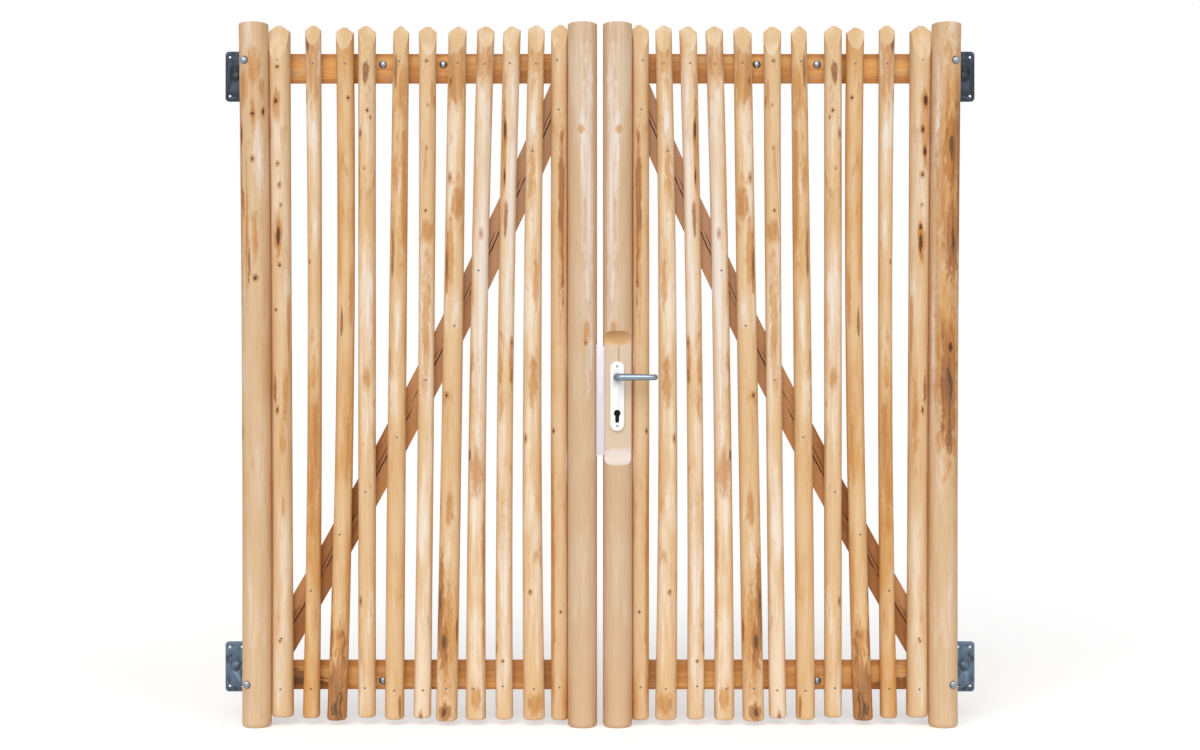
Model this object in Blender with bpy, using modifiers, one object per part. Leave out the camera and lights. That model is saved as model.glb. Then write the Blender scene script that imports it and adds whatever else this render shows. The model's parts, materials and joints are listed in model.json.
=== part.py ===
"""A double-leaf garden gate of peeled round poles, hung on strap hinges, with a mortise lock.

Metres, +Z up. The closed gate stands across X with its pales towards -Y. The origin is at the
foot of the gate, midway along it and midway through its depth. The right leaf carries the lock
and opens first. The left leaf carries the strike. Both open towards +Y.
"""

import math

import bmesh
import bpy
from mathutils import Matrix, Vector

# ---------------------------------------------------------------- fits
FIT = 0.0003  # gap left between pieces that touch
RUNNING_GAP = 0.0004  # radial gap of a piece that turns or slides in a hole

# ---------------------------------------------------------------- poles
POLE_SIDES = 12
POST_SIDES = 24
HOLE_SIDES = 8
POLE_SPANS = 5
GATE_GAP = 0.015  # between the two meeting posts
LEAF_WIDTH = 0.879  # from the gate's middle to the hinge post's axis at its foot
HINGE_POST_LEAN = (0.000, 0.001, 0.009)  # outwards, at its foot, middle and top
POST_DIAMETER = 0.075
POST_TOP = 1.800
POST_FOOT_CHAMFER = 0.012
POST_HEAD_CHAMFER = 0.004
PALE_FOOT_CHAMFER = 0.008
TIP_SIDE_ANGLE = math.radians(36)
TIP_FRONT_ANGLE = math.radians(18)
TIP_FLAT_SHARE = 0.2  # of the pale's radius, left between the two side cuts

# From the hinge post to the meeting post. The gap on the pale's hinge side at its foot, middle
# and top, then its diameters there, then how high its foot is and how far below the posts' tops
# its tip is. All gaps of a leaf widen or narrow together, so that the pales always fill it.
PALES = (
    ((0.0005, 0.0005, 0.0005), (0.056, 0.052, 0.056), (0.024, 0.003)),
    ((0.0205, 0.0375, 0.0350), (0.045, 0.037, 0.042), (0.020, 0.002)),
    ((0.0180, 0.0375, 0.0375), (0.051, 0.046, 0.047), (0.015, 0.007)),
    ((0.0285, 0.0160, 0.0185), (0.046, 0.042, 0.046), (0.022, 0.003)),
    ((0.0230, 0.0295, 0.0365), (0.050, 0.047, 0.041), (0.017, 0.003)),
    ((0.0230, 0.0295, 0.0245), (0.046, 0.042, 0.046), (0.020, 0.005)),
    ((0.0120, 0.0210, 0.0305), (0.056, 0.052, 0.047), (0.014, 0.005)),
    ((0.0205, 0.0175, 0.0265), (0.053, 0.045, 0.046), (0.016, 0.004)),
    ((0.0235, 0.0265, 0.0210), (0.046, 0.042, 0.046), (0.017, 0.004)),
    ((0.0260, 0.0240, 0.0185), (0.056, 0.048, 0.043), (0.017, 0.001)),
    ((0.0130, 0.0205, 0.0135), (0.045, 0.046, 0.045), (0.015, 0.000)),
)
LAST_GAP = (0.0005, 0.0010, 0.0005)  # between the last pale and the meeting post

# ---------------------------------------------------------------- rails and brace
RAIL_RADIUS = 0.0385
RAIL_DEPTH = 0.033
RAIL_SIDES = 24
RAIL_INNER_X = 0.012
RAIL_PAST_POST = 0.037  # from the hinge post's axis at its foot to the rail's outer end
UPPER_RAIL_DROP = 0.109  # from the posts' tops to the rail's middle
LOWER_RAIL_Z = 0.126
BRACE_FOOT = 0.033  # inwards from the hinge post's axis
BRACE_HEAD = 0.041  # outwards from the meeting post's axis
BRACE_BOW = 0.030
BRACE_SPANS = 8

# ---------------------------------------------------------------- hinges
PIN_PAST_POST = 0.067  # from the hinge post's axis at its foot
PIN_RADIUS = 0.0065
STRAP_THICKNESS = 0.005
STRAP_HEIGHT = 0.040
STRAP_PAST_BOLT = 0.077  # from its last bolt to its round end
STRAP_END_CUTS = 3  # each side of the middle of the round end
EYE_INNER_RADIUS = PIN_RADIUS + RUNNING_GAP
EYE_OUTER_RADIUS = EYE_INNER_RADIUS + STRAP_THICKNESS
EYE_ROLL = math.radians(300)
UPPER_STRAP_RISE = 0.011  # over the middle of its rail
LOWER_STRAP_DROP = 0.016  # under the middle of its rail
HOOK_PLATE_SIZE = (0.054, 0.005, 0.130)
HOOK_PLATE_CORNER = 0.009
HOOK_HOLE_RADIUS = 0.0035
HOOK_HOLE_INSET = (0.0115, 0.0145)
HOOK_REACH = 0.016  # from the pin's axis to the near face of the plate
HOOK_BEND = 0.0075  # radius of the bar's middle line
PIN_TIP_OVER_EYE = 0.008
UPPER_HOOK_PLAY = 0.0006
LOWER_HOOK_PLAY = 0.006

# ---------------------------------------------------------------- carriage bolts, M8
BOLT_RADIUS = 0.004
BOLT_HEAD_RADIUS = 0.0103
BOLT_HEAD_HEIGHT = 0.005
BOLT_TAIL = 0.012  # past the strap
BOLT_SIDES = 12
WASHER_RADIUS = 0.008
WASHER_THICKNESS = 0.0016
NUT_RADIUS = 0.0075
NUT_HEIGHT = 0.0065
UPPER_POST_BOLT = 0.028  # outwards from the hinge post's axis at its foot
LOWER_POST_BOLT = 0.021
POST_BOLT_SINK = 0.003  # of the seat under the head, from the round of the post
RAIL_BOLTS = ((4, 0.030), (6, 0.038))  # after which pale, and how far in from its axis
SPOT_FACE_RADIUS = 0.0115

# ---------------------------------------------------------------- lock, heights from the spindle
SPINDLE_Z = 0.894
SPINDLE_SIZE = 0.008
BACKSET = 0.035
KEYHOLE_DROP = 0.092
LOCK_FRONT_FLAT = 0.014  # from the post's axis to its planed front
LOCK_BACK_FLAT = 0.022
LOCK_FRONT_SPAN = (-0.224, 0.118)
LOCK_BACK_SPAN = (-0.166, 0.069)
RUN_OUT = 0.024
FOREND_INSET = 0.0015  # its face, from the post's widest line
FOREND_THICKNESS = 0.003
FOREND_WIDTH = 0.022
FOREND_SPAN = (-0.195, 0.075)
CASE_PAST_SPINDLE = 0.020
CASE_HALF_THICKNESS = 0.007
CASE_WALL = 0.0012
CASE_SPAN = (-0.137, 0.040)
HUB_RADIUS = 0.009
ARM_LENGTH = 0.020
ARM_WIDTH = 0.006
ARM_Y = (-0.0045, 0.0005)
LATCH_THROW = 0.011
LATCH_HEAD_LENGTH = 0.024
LATCH_HALF_THICKNESS = 0.0055
LATCH_SPAN = (0.004, 0.032)
LATCH_TAIL_Y = (0.001, 0.005)
LATCH_TAIL_SPAN = (0.012, 0.030)
LATCH_PEG_GAP = 0.0008
LATCH_PEG_WIDTH = 0.0032
LATCH_PEG_HEIGHT = 0.012
DEAD_BOLT_LENGTH = 0.038
DEAD_BOLT_HALF_THICKNESS = 0.005
DEAD_BOLT_SPAN = (-0.069, -0.041)
PROFILE_ROUND_RADIUS = 0.0085
PROFILE_SLOT_RADIUS = 0.005
PROFILE_HEIGHT = 0.033

# ---------------------------------------------------------------- handle set
HANDLE_PLATE_WIDTH = 0.035
HANDLE_PLATE_THICKNESS = 0.008
HANDLE_PLATE_SPAN = (-0.137, 0.040)
LEVER_NECK_RADIUS = 0.010
LEVER_BAR_RADIUS = 0.008
LEVER_TAIL_RADIUS = 0.0065
LEVER_REACH = 0.055
LEVER_LENGTH = 0.103
LEVER_BEND = 0.016
LEVER_RETURN = 0.020
SOCKET_DEPTH = 0.020

# ---------------------------------------------------------------- strike
STRIKE_SHEET = 0.0025
STRIKE_SPAN = (-0.199, 0.080)
STRIKE_FACE_INSET = 0.0025  # its face, from the post's widest line into the gap
STRIKE_SEAT_DEPTH = 0.0023  # of the post's planed side
STRIKE_BACK_Y = 0.012
STRIKE_STOP_OVERLAP = 0.0045  # of its lip in front of the right meeting post
STRIKE_STOP_GAP = 0.0006
STRIKE_HOLE_MARGIN = 0.003
STRIKE_HOLE_HALF_WIDTH = 0.0075

# ---------------------------------------------------------------- worked out from the above
POST_RADIUS = POST_DIAMETER / 2
MEETING_POST_X = GATE_GAP / 2 + POST_RADIUS
UPPER_RAIL_Z = POST_TOP - UPPER_RAIL_DROP
PIN_X = LEAF_WIDTH + PIN_PAST_POST
FRONT_REACH = FIT + POST_RADIUS + LOCK_FRONT_FLAT + LEVER_REACH + LEVER_BAR_RADIUS
BACK_REACH = RAIL_DEPTH + FIT + 2 * EYE_OUTER_RADIUS
BACKS_Y = (FRONT_REACH - BACK_REACH) / 2  # backs of the pales and posts, fronts of the rails
POST_Y = BACKS_Y - FIT - POST_RADIUS
STRAP_Y = BACKS_Y + RAIL_DEPTH + FIT
PIN_Y = STRAP_Y + EYE_OUTER_RADIUS
FRONT_FLAT_Y = POST_Y - LOCK_FRONT_FLAT
BACK_FLAT_Y = POST_Y + LOCK_BACK_FLAT
FOREND_X = GATE_GAP / 2 + FOREND_INSET
SPINDLE_X = FOREND_X + BACKSET
CASE_X = (FOREND_X + FOREND_THICKNESS, SPINDLE_X + CASE_PAST_SPINDLE)
KEYHOLE_Z = SPINDLE_Z - KEYHOLE_DROP

PARTS = "double garden gate"
CUTTERS = "cutters"
SIDES = (("left", -1), ("right", 1))


# ---------------------------------------------------------------- scene and materials
def start():
    """Empties the scene and makes the two collections."""
    for found in list(bpy.data.objects):
        bpy.data.objects.remove(found, do_unlink=True)
    for name in (PARTS, CUTTERS):
        collection = bpy.data.collections.new(name)
        bpy.context.scene.collection.children.link(collection)


def material(name, colour, roughness, metallic=0.0):
    """A Principled material, made once for each name."""
    found = bpy.data.materials.get(name)
    if found:
        return found
    made = bpy.data.materials.new(name)
    made.use_nodes = True
    shader = made.node_tree.nodes["Principled BSDF"]
    shader.inputs["Base Color"].default_value = (*colour, 1.0)
    shader.inputs["Roughness"].default_value = roughness
    shader.inputs["Metallic"].default_value = metallic
    return made


def peeled_wood():
    return material("peeled hazel", (0.72, 0.48, 0.26), 0.6)


def sawn_wood():
    return material("sawn half-round", (0.58, 0.34, 0.16), 0.7)


def zinc():
    return material("galvanised steel", (0.32, 0.36, 0.42), 0.45, 1.0)


def bright_steel():
    return material("bright steel", (0.62, 0.63, 0.65), 0.3, 1.0)


def aluminium():
    return material("satin aluminium", (0.86, 0.87, 0.89), 0.35, 1.0)


# ---------------------------------------------------------------- building blocks
def add(name, mesh, finish):
    """A part of the gate made from a mesh."""
    made = bpy.data.objects.new(name, mesh)
    bpy.data.collections[PARTS].objects.link(made)
    mesh.materials.append(finish)
    mesh.shade_smooth()
    mesh.set_sharp_from_angle(angle=math.radians(35))
    return made


def add_cutter(name, mesh):
    """A helper shape for a Boolean. It isn't part of the gate."""
    made = bpy.data.objects.new(name, mesh)
    bpy.data.collections[CUTTERS].objects.link(made)
    made.hide_render = True
    made.display_type = "WIRE"
    return made


def mesh_from(bm, name):
    """Closes a bmesh into a mesh with its faces pointing out."""
    bmesh.ops.recalc_face_normals(bm, faces=bm.faces)
    mesh = bpy.data.meshes.new(name)
    bm.to_mesh(mesh)
    bm.free()
    return mesh


def box_mesh(name, low, high):
    """A box between two corners."""
    low, high = Vector(low), Vector(high)
    bm = bmesh.new()
    bmesh.ops.create_cube(bm, size=1.0)
    size = Matrix.Diagonal((*(high - low), 1.0))
    bm.transform(Matrix.Translation((low + high) / 2) @ size)
    return mesh_from(bm, name)


def rod_mesh(name, start_point, end_point, radius, sides):
    """A straight round bar between two points, with a corner of its outline on each main axis."""
    start_point, end_point = Vector(start_point), Vector(end_point)
    run = end_point - start_point
    bm = bmesh.new()
    bmesh.ops.create_cone(
        bm, cap_ends=True, segments=sides, radius1=radius, radius2=radius, depth=run.length
    )
    turn = Vector((0, 0, 1)).rotation_difference(run).to_matrix().to_4x4()
    bm.transform(Matrix.Translation((start_point + end_point) / 2) @ turn)
    return mesh_from(bm, name)


def slice_off(bm, point, normal):
    """Cuts away what lies on the normal's side of a plane, and closes the cut."""
    everything = bm.verts[:] + bm.edges[:] + bm.faces[:]
    bmesh.ops.bisect_plane(
        bm, geom=everything, plane_co=point, plane_no=normal, clear_outer=True
    )
    open_edges = [edge for edge in bm.edges if edge.is_boundary]
    bmesh.ops.holes_fill(bm, edges=open_edges)


def boolean(part, other, operation="DIFFERENCE"):
    """Adds a Boolean modifier that cuts with, or joins, another object."""
    modifier = part.modifiers.new(f"{operation.lower()} {other.name}", "BOOLEAN")
    modifier.operation = operation
    modifier.object = other


def cut_box(part, name, low, high):
    boolean(part, add_cutter(f"{name} cutter", box_mesh(name, low, high)))


def cut_rod(part, name, start_point, end_point, radius, sides=POLE_SIDES):
    mesh = rod_mesh(name, start_point, end_point, radius, sides)
    boolean(part, add_cutter(f"{name} cutter", mesh))


def curve_mesh(name, curve, matrix=None):
    """Turns a curve into a mesh with its caps welded on."""
    guide = bpy.data.objects.new(f"{name} guide", curve)
    bpy.context.scene.collection.objects.link(guide)
    graph = bpy.context.evaluated_depsgraph_get()
    mesh = bpy.data.meshes.new_from_object(guide.evaluated_get(graph))
    bpy.data.objects.remove(guide)
    bm = bmesh.new()
    bm.from_mesh(mesh)
    bmesh.ops.remove_doubles(bm, verts=bm.verts, dist=1e-5)
    bm.transform(matrix or Matrix.Identity(4))
    return mesh_from(bm, name)


def tube_mesh(name, points, radii, smoothness=4):
    """A round bar along points, with its own radius at each of them."""
    curve = bpy.data.curves.new(name, "CURVE")
    curve.dimensions = "3D"
    curve.bevel_depth = 1.0  # scaled by each point's radius
    curve.bevel_resolution = smoothness
    curve.use_fill_caps = True
    spline = curve.splines.new("POLY")
    spline.points.add(len(points) - 1)
    for place, point, radius in zip(spline.points, points, radii):
        place.co = (*point, 1.0)
        place.radius = radius
    return curve_mesh(name, curve)


def plate_mesh(name, outline, thickness, matrix):
    """A flat outline given a thickness, centred on its own plane, then put in place."""
    curve = bpy.data.curves.new(name, "CURVE")
    curve.dimensions = "2D"
    curve.fill_mode = "BOTH"
    curve.extrude = thickness / 2
    spline = curve.splines.new("POLY")
    spline.points.add(len(outline) - 1)
    for place, (across, up) in zip(spline.points, outline):
        place.co = (across, up, 0.0, 1.0)
    spline.use_cyclic_u = True
    return curve_mesh(name, curve, matrix)


def facing_front(x, y, z):
    """Stands an outline up in the gate's plane: across is X and up is Z."""
    return Matrix.Translation((x, y, z)) @ Matrix.Rotation(math.pi / 2, 4, "X")


def arc(centre, radius, start, end, steps):
    """Points along an arc, both ends included. Angles in radians."""
    angles = [start + (end - start) * step / steps for step in range(steps + 1)]
    return [
        (centre[0] + radius * math.cos(a), centre[1] + radius * math.sin(a)) for a in angles
    ]


def rounded_rectangle(width, height, corner, steps):
    """An outline round the origin."""
    points = []
    for turn, (right, up) in enumerate(((1, 1), (-1, 1), (-1, -1), (1, -1))):
        centre = (right * (width / 2 - corner), up * (height / 2 - corner))
        start = turn * math.pi / 2
        points += arc(centre, corner, start, start + math.pi / 2, steps)
    return points


def bowed(foot, middle, top, share):
    """A value along a pole, on the smooth curve through its foot, middle and top."""
    at_foot = foot * (1 - share) * (1 - 2 * share)
    at_middle = 4 * middle * share * (1 - share)
    return at_foot + at_middle + top * share * (2 * share - 1)


def from_spindle(span):
    """The lowest and highest point of a span whose heights are counted from the spindle."""
    return SPINDLE_Z + span[0], SPINDLE_Z + span[1]


# ---------------------------------------------------------------- poles
def pole_bmesh(side, centres, diameters, heights, sides, foot_chamfer, head_chamfer):
    """A round pole that bows and tapers, its back straight against the rails."""
    low, high = heights
    length = high - low
    chamfers = (foot_chamfer / length, 1 - head_chamfer / length)
    cuts = {step / POLE_SPANS for step in range(1, POLE_SPANS)} | set(chamfers)
    bm = bmesh.new()
    bmesh.ops.create_cone(
        bm,
        cap_ends=True,
        segments=sides,
        radius1=1.0,
        radius2=1.0,
        depth=1.0,
        matrix=Matrix.Translation((0, 0, 0.5)),
    )
    for share in sorted(cuts):
        bmesh.ops.bisect_plane(
            bm,
            geom=bm.verts[:] + bm.edges[:] + bm.faces[:],
            plane_co=(0, 0, share),
            plane_no=(0, 0, 1),
        )
    for corner in bm.verts:
        share = corner.co.z
        radius = bowed(*diameters, share) / 2
        middle_x = side * bowed(*centres, share)
        middle_y = BACKS_Y - FIT - radius
        if share < chamfers[0] / 2:
            radius -= foot_chamfer / 2
        if share > (1 + chamfers[1]) / 2:
            radius -= head_chamfer
        across, through = corner.co.x * radius, corner.co.y * radius
        corner.co = (middle_x + across, middle_y + through, low + share * length)
    return bm


def pale_centres():
    """Each pale's distances from the gate's middle at its foot, middle and top."""
    levels = []
    for level, lean in enumerate(HINGE_POST_LEAN):
        place = LEAF_WIDTH + lean - POST_RADIUS
        gaps = [pale[0][level] for pale in PALES]
        diameters = [pale[1][level] for pale in PALES]
        free = place - MEETING_POST_X - POST_RADIUS - sum(diameters)
        stretch = free / (sum(gaps) + LAST_GAP[level])
        centres = []
        for gap, diameter in zip(gaps, diameters):
            place -= stretch * gap + diameter
            centres.append(place + diameter / 2)
        levels.append(centres)
    return list(zip(*levels))


def make_pale(name, side, centres, diameters, heights):
    """One pale, its tip cut from both sides and from the front."""
    bm = pole_bmesh(
        side, centres, diameters, heights, POLE_SIDES, PALE_FOOT_CHAMFER, POST_HEAD_CHAMFER
    )
    radius = diameters[2] / 2
    tip_x, tip_z = side * centres[2], heights[1]
    tip_y = BACKS_Y - FIT - radius
    for way in (-1, 1):
        normal = (way * math.sin(TIP_SIDE_ANGLE), 0, math.cos(TIP_SIDE_ANGLE))
        slice_off(bm, (tip_x + way * TIP_FLAT_SHARE * radius, tip_y, tip_z), normal)
    normal = (0, -math.cos(TIP_FRONT_ANGLE), math.sin(TIP_FRONT_ANGLE))
    slice_off(bm, (tip_x, tip_y, tip_z), normal)
    return add(name, mesh_from(bm, name), peeled_wood())


def make_post(name, side, centres):
    diameters = (POST_DIAMETER,) * 3
    bm = pole_bmesh(
        side, centres, diameters, (0.0, POST_TOP), POST_SIDES, POST_FOOT_CHAMFER, POST_HEAD_CHAMFER
    )
    return add(name, mesh_from(bm, name), peeled_wood())


def post_bolt_seat(out, z):
    """Where the head of a bolt through the hinge post sits, below the round of the post."""
    foot, middle, top = HINGE_POST_LEAN
    off_axis = out - bowed(foot, middle, top, z / POST_TOP)
    return POST_Y - math.sqrt(POST_RADIUS**2 - off_axis**2) + POST_BOLT_SINK


def make_hinge_post(word, side):
    """The outer post, drilled for its two bolts, whose heads sit in spot faces."""
    post = make_post(f"{word}_hinge_post", side, [LEAF_WIDTH + lean for lean in HINGE_POST_LEAN])
    for level, out, z in (
        ("upper", UPPER_POST_BOLT, UPPER_RAIL_Z + UPPER_STRAP_RISE),
        ("lower", LOWER_POST_BOLT, LOWER_RAIL_Z - LOWER_STRAP_DROP),
    ):
        name = f"{word} {level} post bolt"
        x, seat_y = side * (LEAF_WIDTH + out), post_bolt_seat(out, z)
        ends = [(x, POST_Y - 2 * POST_RADIUS, z), (x, seat_y, z)]
        cut_rod(post, f"{name} seat", *ends, SPOT_FACE_RADIUS)
        drill_for_bolt(post, f"{name} in post", x, z, seat_y - FIT, BACKS_Y)


def drill_for_bolt(part, name, x, z, front, back):
    """A through hole for a carriage bolt, running past both faces."""
    over = BOLT_HEAD_HEIGHT
    cut_rod(part, name, (x, front - over, z), (x, back + over, z), BOLT_RADIUS + RUNNING_GAP)


def make_pales(word, side):
    for number, (centres, pale) in enumerate(zip(pale_centres(), PALES), 1):
        gaps, diameters, (foot, drop) = pale
        name = f"{word}_pale_{number:02d}"
        make_pale(name, side, centres, diameters, (foot, POST_TOP - drop))


# ---------------------------------------------------------------- rails and brace
def halve(bm):
    """Leaves the half-round behind the pales, its crest planed flat for the strap."""
    slice_off(bm, (0, BACKS_Y, 0), (0, -1, 0))
    slice_off(bm, (0, BACKS_Y + RAIL_DEPTH, 0), (0, 1, 0))


def make_rail(word, side, level, rail_z, strap_z, bolts):
    """A half-round rail, drilled for the bolts of its strap."""
    name = f"{word}_{level}_rail"
    ends = [(side * x, BACKS_Y, rail_z) for x in (RAIL_INNER_X, LEAF_WIDTH + RAIL_PAST_POST)]
    bm = bmesh.new()
    bm.from_mesh(rod_mesh(name, *ends, RAIL_RADIUS, RAIL_SIDES))
    halve(bm)
    rail = add(name, mesh_from(bm, name), sawn_wood())
    for number, x in enumerate(bolts, 1):
        drill_for_bolt(rail, f"{name} bolt {number}", side * x, strap_z, BACKS_Y, STRAP_Y)


def make_brace(word, side):
    """The diagonal half-round, its ends cut level to butt on the two rails."""
    name = f"{word}_brace"
    foot = LOWER_RAIL_Z + RAIL_RADIUS + FIT
    head = UPPER_RAIL_Z - RAIL_RADIUS - FIT
    ends = (LEAF_WIDTH - BRACE_FOOT, MEETING_POST_X + BRACE_HEAD)
    line = (ends[0], sum(ends) / 2 - BRACE_BOW, ends[1])
    over = 1 / BRACE_SPANS  # the bar runs past both cuts by one span
    shares = [-over + (1 + 2 * over) * step / BRACE_SPANS for step in range(BRACE_SPANS + 1)]
    points = [
        (side * bowed(*line, share), BACKS_Y, foot + (head - foot) * share)
        for share in shares
    ]
    bm = bmesh.new()
    bm.from_mesh(tube_mesh(name, points, [RAIL_RADIUS] * len(points), 6))
    halve(bm)
    slice_off(bm, (0, 0, foot), (0, 0, -1))
    slice_off(bm, (0, 0, head), (0, 0, 1))
    add(name, mesh_from(bm, name), sawn_wood())


# ---------------------------------------------------------------- hinges
def make_strap(word, side, level, z, length, bolts):
    """A flat bar, one end rolled into the eye and the other end round."""
    name = f"{word}_{level}_strap"
    start = -math.pi / 2
    outer = arc((0, 0), EYE_OUTER_RADIUS, start, start - EYE_ROLL, 20)
    inner = arc((0, 0), EYE_INNER_RADIUS, start - EYE_ROLL, start, 20)
    end = [(length, -EYE_INNER_RADIUS), (length, -EYE_OUTER_RADIUS)]
    outline = [(-side * along, back) for along, back in outer + inner + end]
    place = Matrix.Translation((side * PIN_X, PIN_Y, z))
    bm = bmesh.new()
    bm.from_mesh(plate_mesh(name, outline, STRAP_HEIGHT, place))
    half = STRAP_HEIGHT / 2
    centre = Vector((side * (PIN_X - length + half), PIN_Y, z))
    for step in range(-STRAP_END_CUTS, STRAP_END_CUTS + 1):
        turn = step * math.pi / (2 * STRAP_END_CUTS + 2)
        normal = Vector((-side * math.cos(turn), 0, math.sin(turn)))
        slice_off(bm, centre + half * normal, normal)
    strap = add(name, mesh_from(bm, name), zinc())
    for number, x in enumerate(bolts, 1):
        behind = STRAP_Y + STRAP_THICKNESS
        drill_for_bolt(strap, f"{name} hole {number}", side * x, z, STRAP_Y, behind)


def make_hook(word, side, level, strap_z, up, play):
    """The plate that lies on the back of the gatepost, and the bent bar that carries the eye."""
    name = f"{word}_{level}_hook"
    width, thickness, height = HOOK_PLATE_SIZE
    arm_z = strap_z - up * (STRAP_HEIGHT / 2 + play + PIN_RADIUS)
    plate_y = PIN_Y - HOOK_REACH - thickness / 2
    outline = rounded_rectangle(width, height, HOOK_PLATE_CORNER, 3)
    place = facing_front(side * PIN_X, plate_y, arm_z)
    hook = add(name, plate_mesh(name, outline, thickness, place), zinc())
    boolean(hook, make_hook_bar(name, side, arm_z, up, play), "UNION")
    across = width / 2 - HOOK_HOLE_INSET[0]
    along = height / 2 - HOOK_HOLE_INSET[1]
    for number, (right, high) in enumerate(((-1, -1), (-1, 1), (1, -1), (1, 1)), 1):
        x, z = side * PIN_X + right * across, arm_z + high * along
        front, back = plate_y - thickness, plate_y + thickness
        cut_rod(hook, f"{name} hole {number}", (x, front, z), (x, back, z), HOOK_HOLE_RADIUS, HOLE_SIDES)


def make_hook_bar(name, side, arm_z, up, play):
    """A round bar out of the plate, bent to stand as the pin."""
    x = side * PIN_X
    overlap = HOOK_PLATE_SIZE[1] / 2
    bend = (PIN_Y - HOOK_BEND, HOOK_BEND)
    turn = arc(bend, HOOK_BEND, -math.pi / 2, 0, 4)
    points = [(x, PIN_Y - HOOK_REACH - overlap, arm_z)]
    points += [(x, y, arm_z + up * rise) for y, rise in turn]
    length = PIN_RADIUS + play + STRAP_HEIGHT + PIN_TIP_OVER_EYE
    points.append((x, PIN_Y, arm_z + up * length))
    radii = [PIN_RADIUS] * len(points)
    return add_cutter(f"{name} bar", tube_mesh(f"{name} bar", points, radii))


def make_bolt(name, x, z, seat_y):
    """A carriage bolt from its domed head to its nut and washer behind the strap."""
    back = STRAP_Y + STRAP_THICKNESS + FIT
    end = back + BOLT_TAIL
    steps = 3
    dome = [
        (BOLT_HEAD_RADIUS * math.sin(a), BOLT_HEAD_HEIGHT * math.cos(a))
        for a in (math.pi / 2 * step / steps for step in range(steps + 1))
    ]
    profile = [(radius, seat_y - FIT - height) for radius, height in dome]
    profile += [(BOLT_RADIUS, seat_y - FIT), (BOLT_RADIUS, end), (0.0, end)]
    mesh = bpy.data.meshes.new(name)
    edges = [(i, i + 1) for i in range(len(profile) - 1)]
    mesh.from_pydata([(radius, 0.0, -y) for radius, y in profile], edges, [])
    bolt = add(name, mesh, zinc())
    spin = bolt.modifiers.new("turned", "SCREW")
    spin.steps = spin.render_steps = BOLT_SIDES
    spin.use_merge_vertices = True
    spin.merge_threshold = 1e-5
    bolt.rotation_euler = (math.pi / 2, 0, 0)
    bolt.location = (x, 0, z)
    for part, radius, height, sides in (
        ("washer", WASHER_RADIUS, WASHER_THICKNESS, BOLT_SIDES),
        ("nut", NUT_RADIUS, WASHER_THICKNESS + NUT_HEIGHT, 6),
    ):
        mesh = rod_mesh(f"{name} {part}", (x, back, z), (x, back + height, z), radius, sides)
        boolean(bolt, add_cutter(f"{name} {part}", mesh), "UNION")


def make_hinges(word, side):
    """Both hinges of a leaf. The lower hook points down, so that the leaf can't be lifted off."""
    tops = [centres[2] for centres in pale_centres()]
    rail_bolts = [tops[pale - 1] - inwards for pale, inwards in RAIL_BOLTS]
    length = PIN_X - rail_bolts[-1] + STRAP_PAST_BOLT
    upper_z, lower_z = UPPER_RAIL_Z + UPPER_STRAP_RISE, LOWER_RAIL_Z - LOWER_STRAP_DROP
    levels = (
        ("upper", UPPER_RAIL_Z, upper_z, UPPER_POST_BOLT, rail_bolts, 1, UPPER_HOOK_PLAY),
        ("lower", LOWER_RAIL_Z, lower_z, LOWER_POST_BOLT, rail_bolts[:1], -1, LOWER_HOOK_PLAY),
    )
    for level, rail_z, strap_z, out, inner_bolts, up, play in levels:
        bolts = [LEAF_WIDTH + out, *inner_bolts]
        make_rail(word, side, level, rail_z, strap_z, bolts)
        make_strap(word, side, level, strap_z, length, bolts)
        make_hook(word, side, level, strap_z, up, play)
        make_bolt(f"{word}_{level}_post_bolt", side * bolts[0], strap_z, post_bolt_seat(out, strap_z))
        for number, x in enumerate(inner_bolts, 1):
            make_bolt(f"{word}_{level}_rail_bolt_{number}", side * x, strap_z, BACKS_Y)


# ---------------------------------------------------------------- meeting posts
def plane_flat(post, name, span, flat_y, outward):
    """Planes a flat on the post, with a curved run-out at both ends."""
    low, high = from_spindle(span)
    far = flat_y + outward * POST_DIAMETER
    near = MEETING_POST_X - POST_DIAMETER
    corners = sorted((flat_y, far))
    cutter = add_cutter(
        f"{name} cutter",
        box_mesh(name, (near, corners[0], low), (near + 2 * POST_DIAMETER, corners[1], high)),
    )
    cutter.data.attributes.new("bevel_weight_edge", "FLOAT", "EDGE")
    weights = cutter.data.attributes["bevel_weight_edge"].data
    for edge in cutter.data.edges:
        ends = [cutter.data.vertices[i].co for i in edge.vertices]
        deep = all(abs(end.y - flat_y) < 1e-5 for end in ends)
        weights[edge.index].value = float(deep and abs(ends[0].z - ends[1].z) < 1e-5)
    bevel = cutter.modifiers.new("run-out", "BEVEL")
    bevel.limit_method = "WEIGHT"
    bevel.width = RUN_OUT
    bevel.segments = 5
    boolean(post, cutter)


def keyhole_outline(clearance):
    """The euro profile: a round over a narrower slot. Its origin is the round's centre."""
    big = PROFILE_ROUND_RADIUS + clearance
    small = PROFILE_SLOT_RADIUS + clearance
    join = math.asin(small / big)
    foot = PROFILE_ROUND_RADIUS + PROFILE_SLOT_RADIUS - PROFILE_HEIGHT
    points = arc((0, 0), big, -math.pi / 2 + join, 1.5 * math.pi - join, 14)
    return points + arc((0, foot), small, math.pi, 2 * math.pi, 6)


def cut_keyhole(part, name, low_y, high_y, clearance):
    """Cuts the euro profile right through a piece."""
    middle = (low_y + high_y) / 2
    over = STRIKE_SHEET
    place = facing_front(SPINDLE_X, middle, KEYHOLE_Z)
    mesh = plate_mesh(name, keyhole_outline(clearance), high_y - low_y + 2 * over, place)
    boolean(part, add_cutter(f"{name} cutter", mesh))


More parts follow.
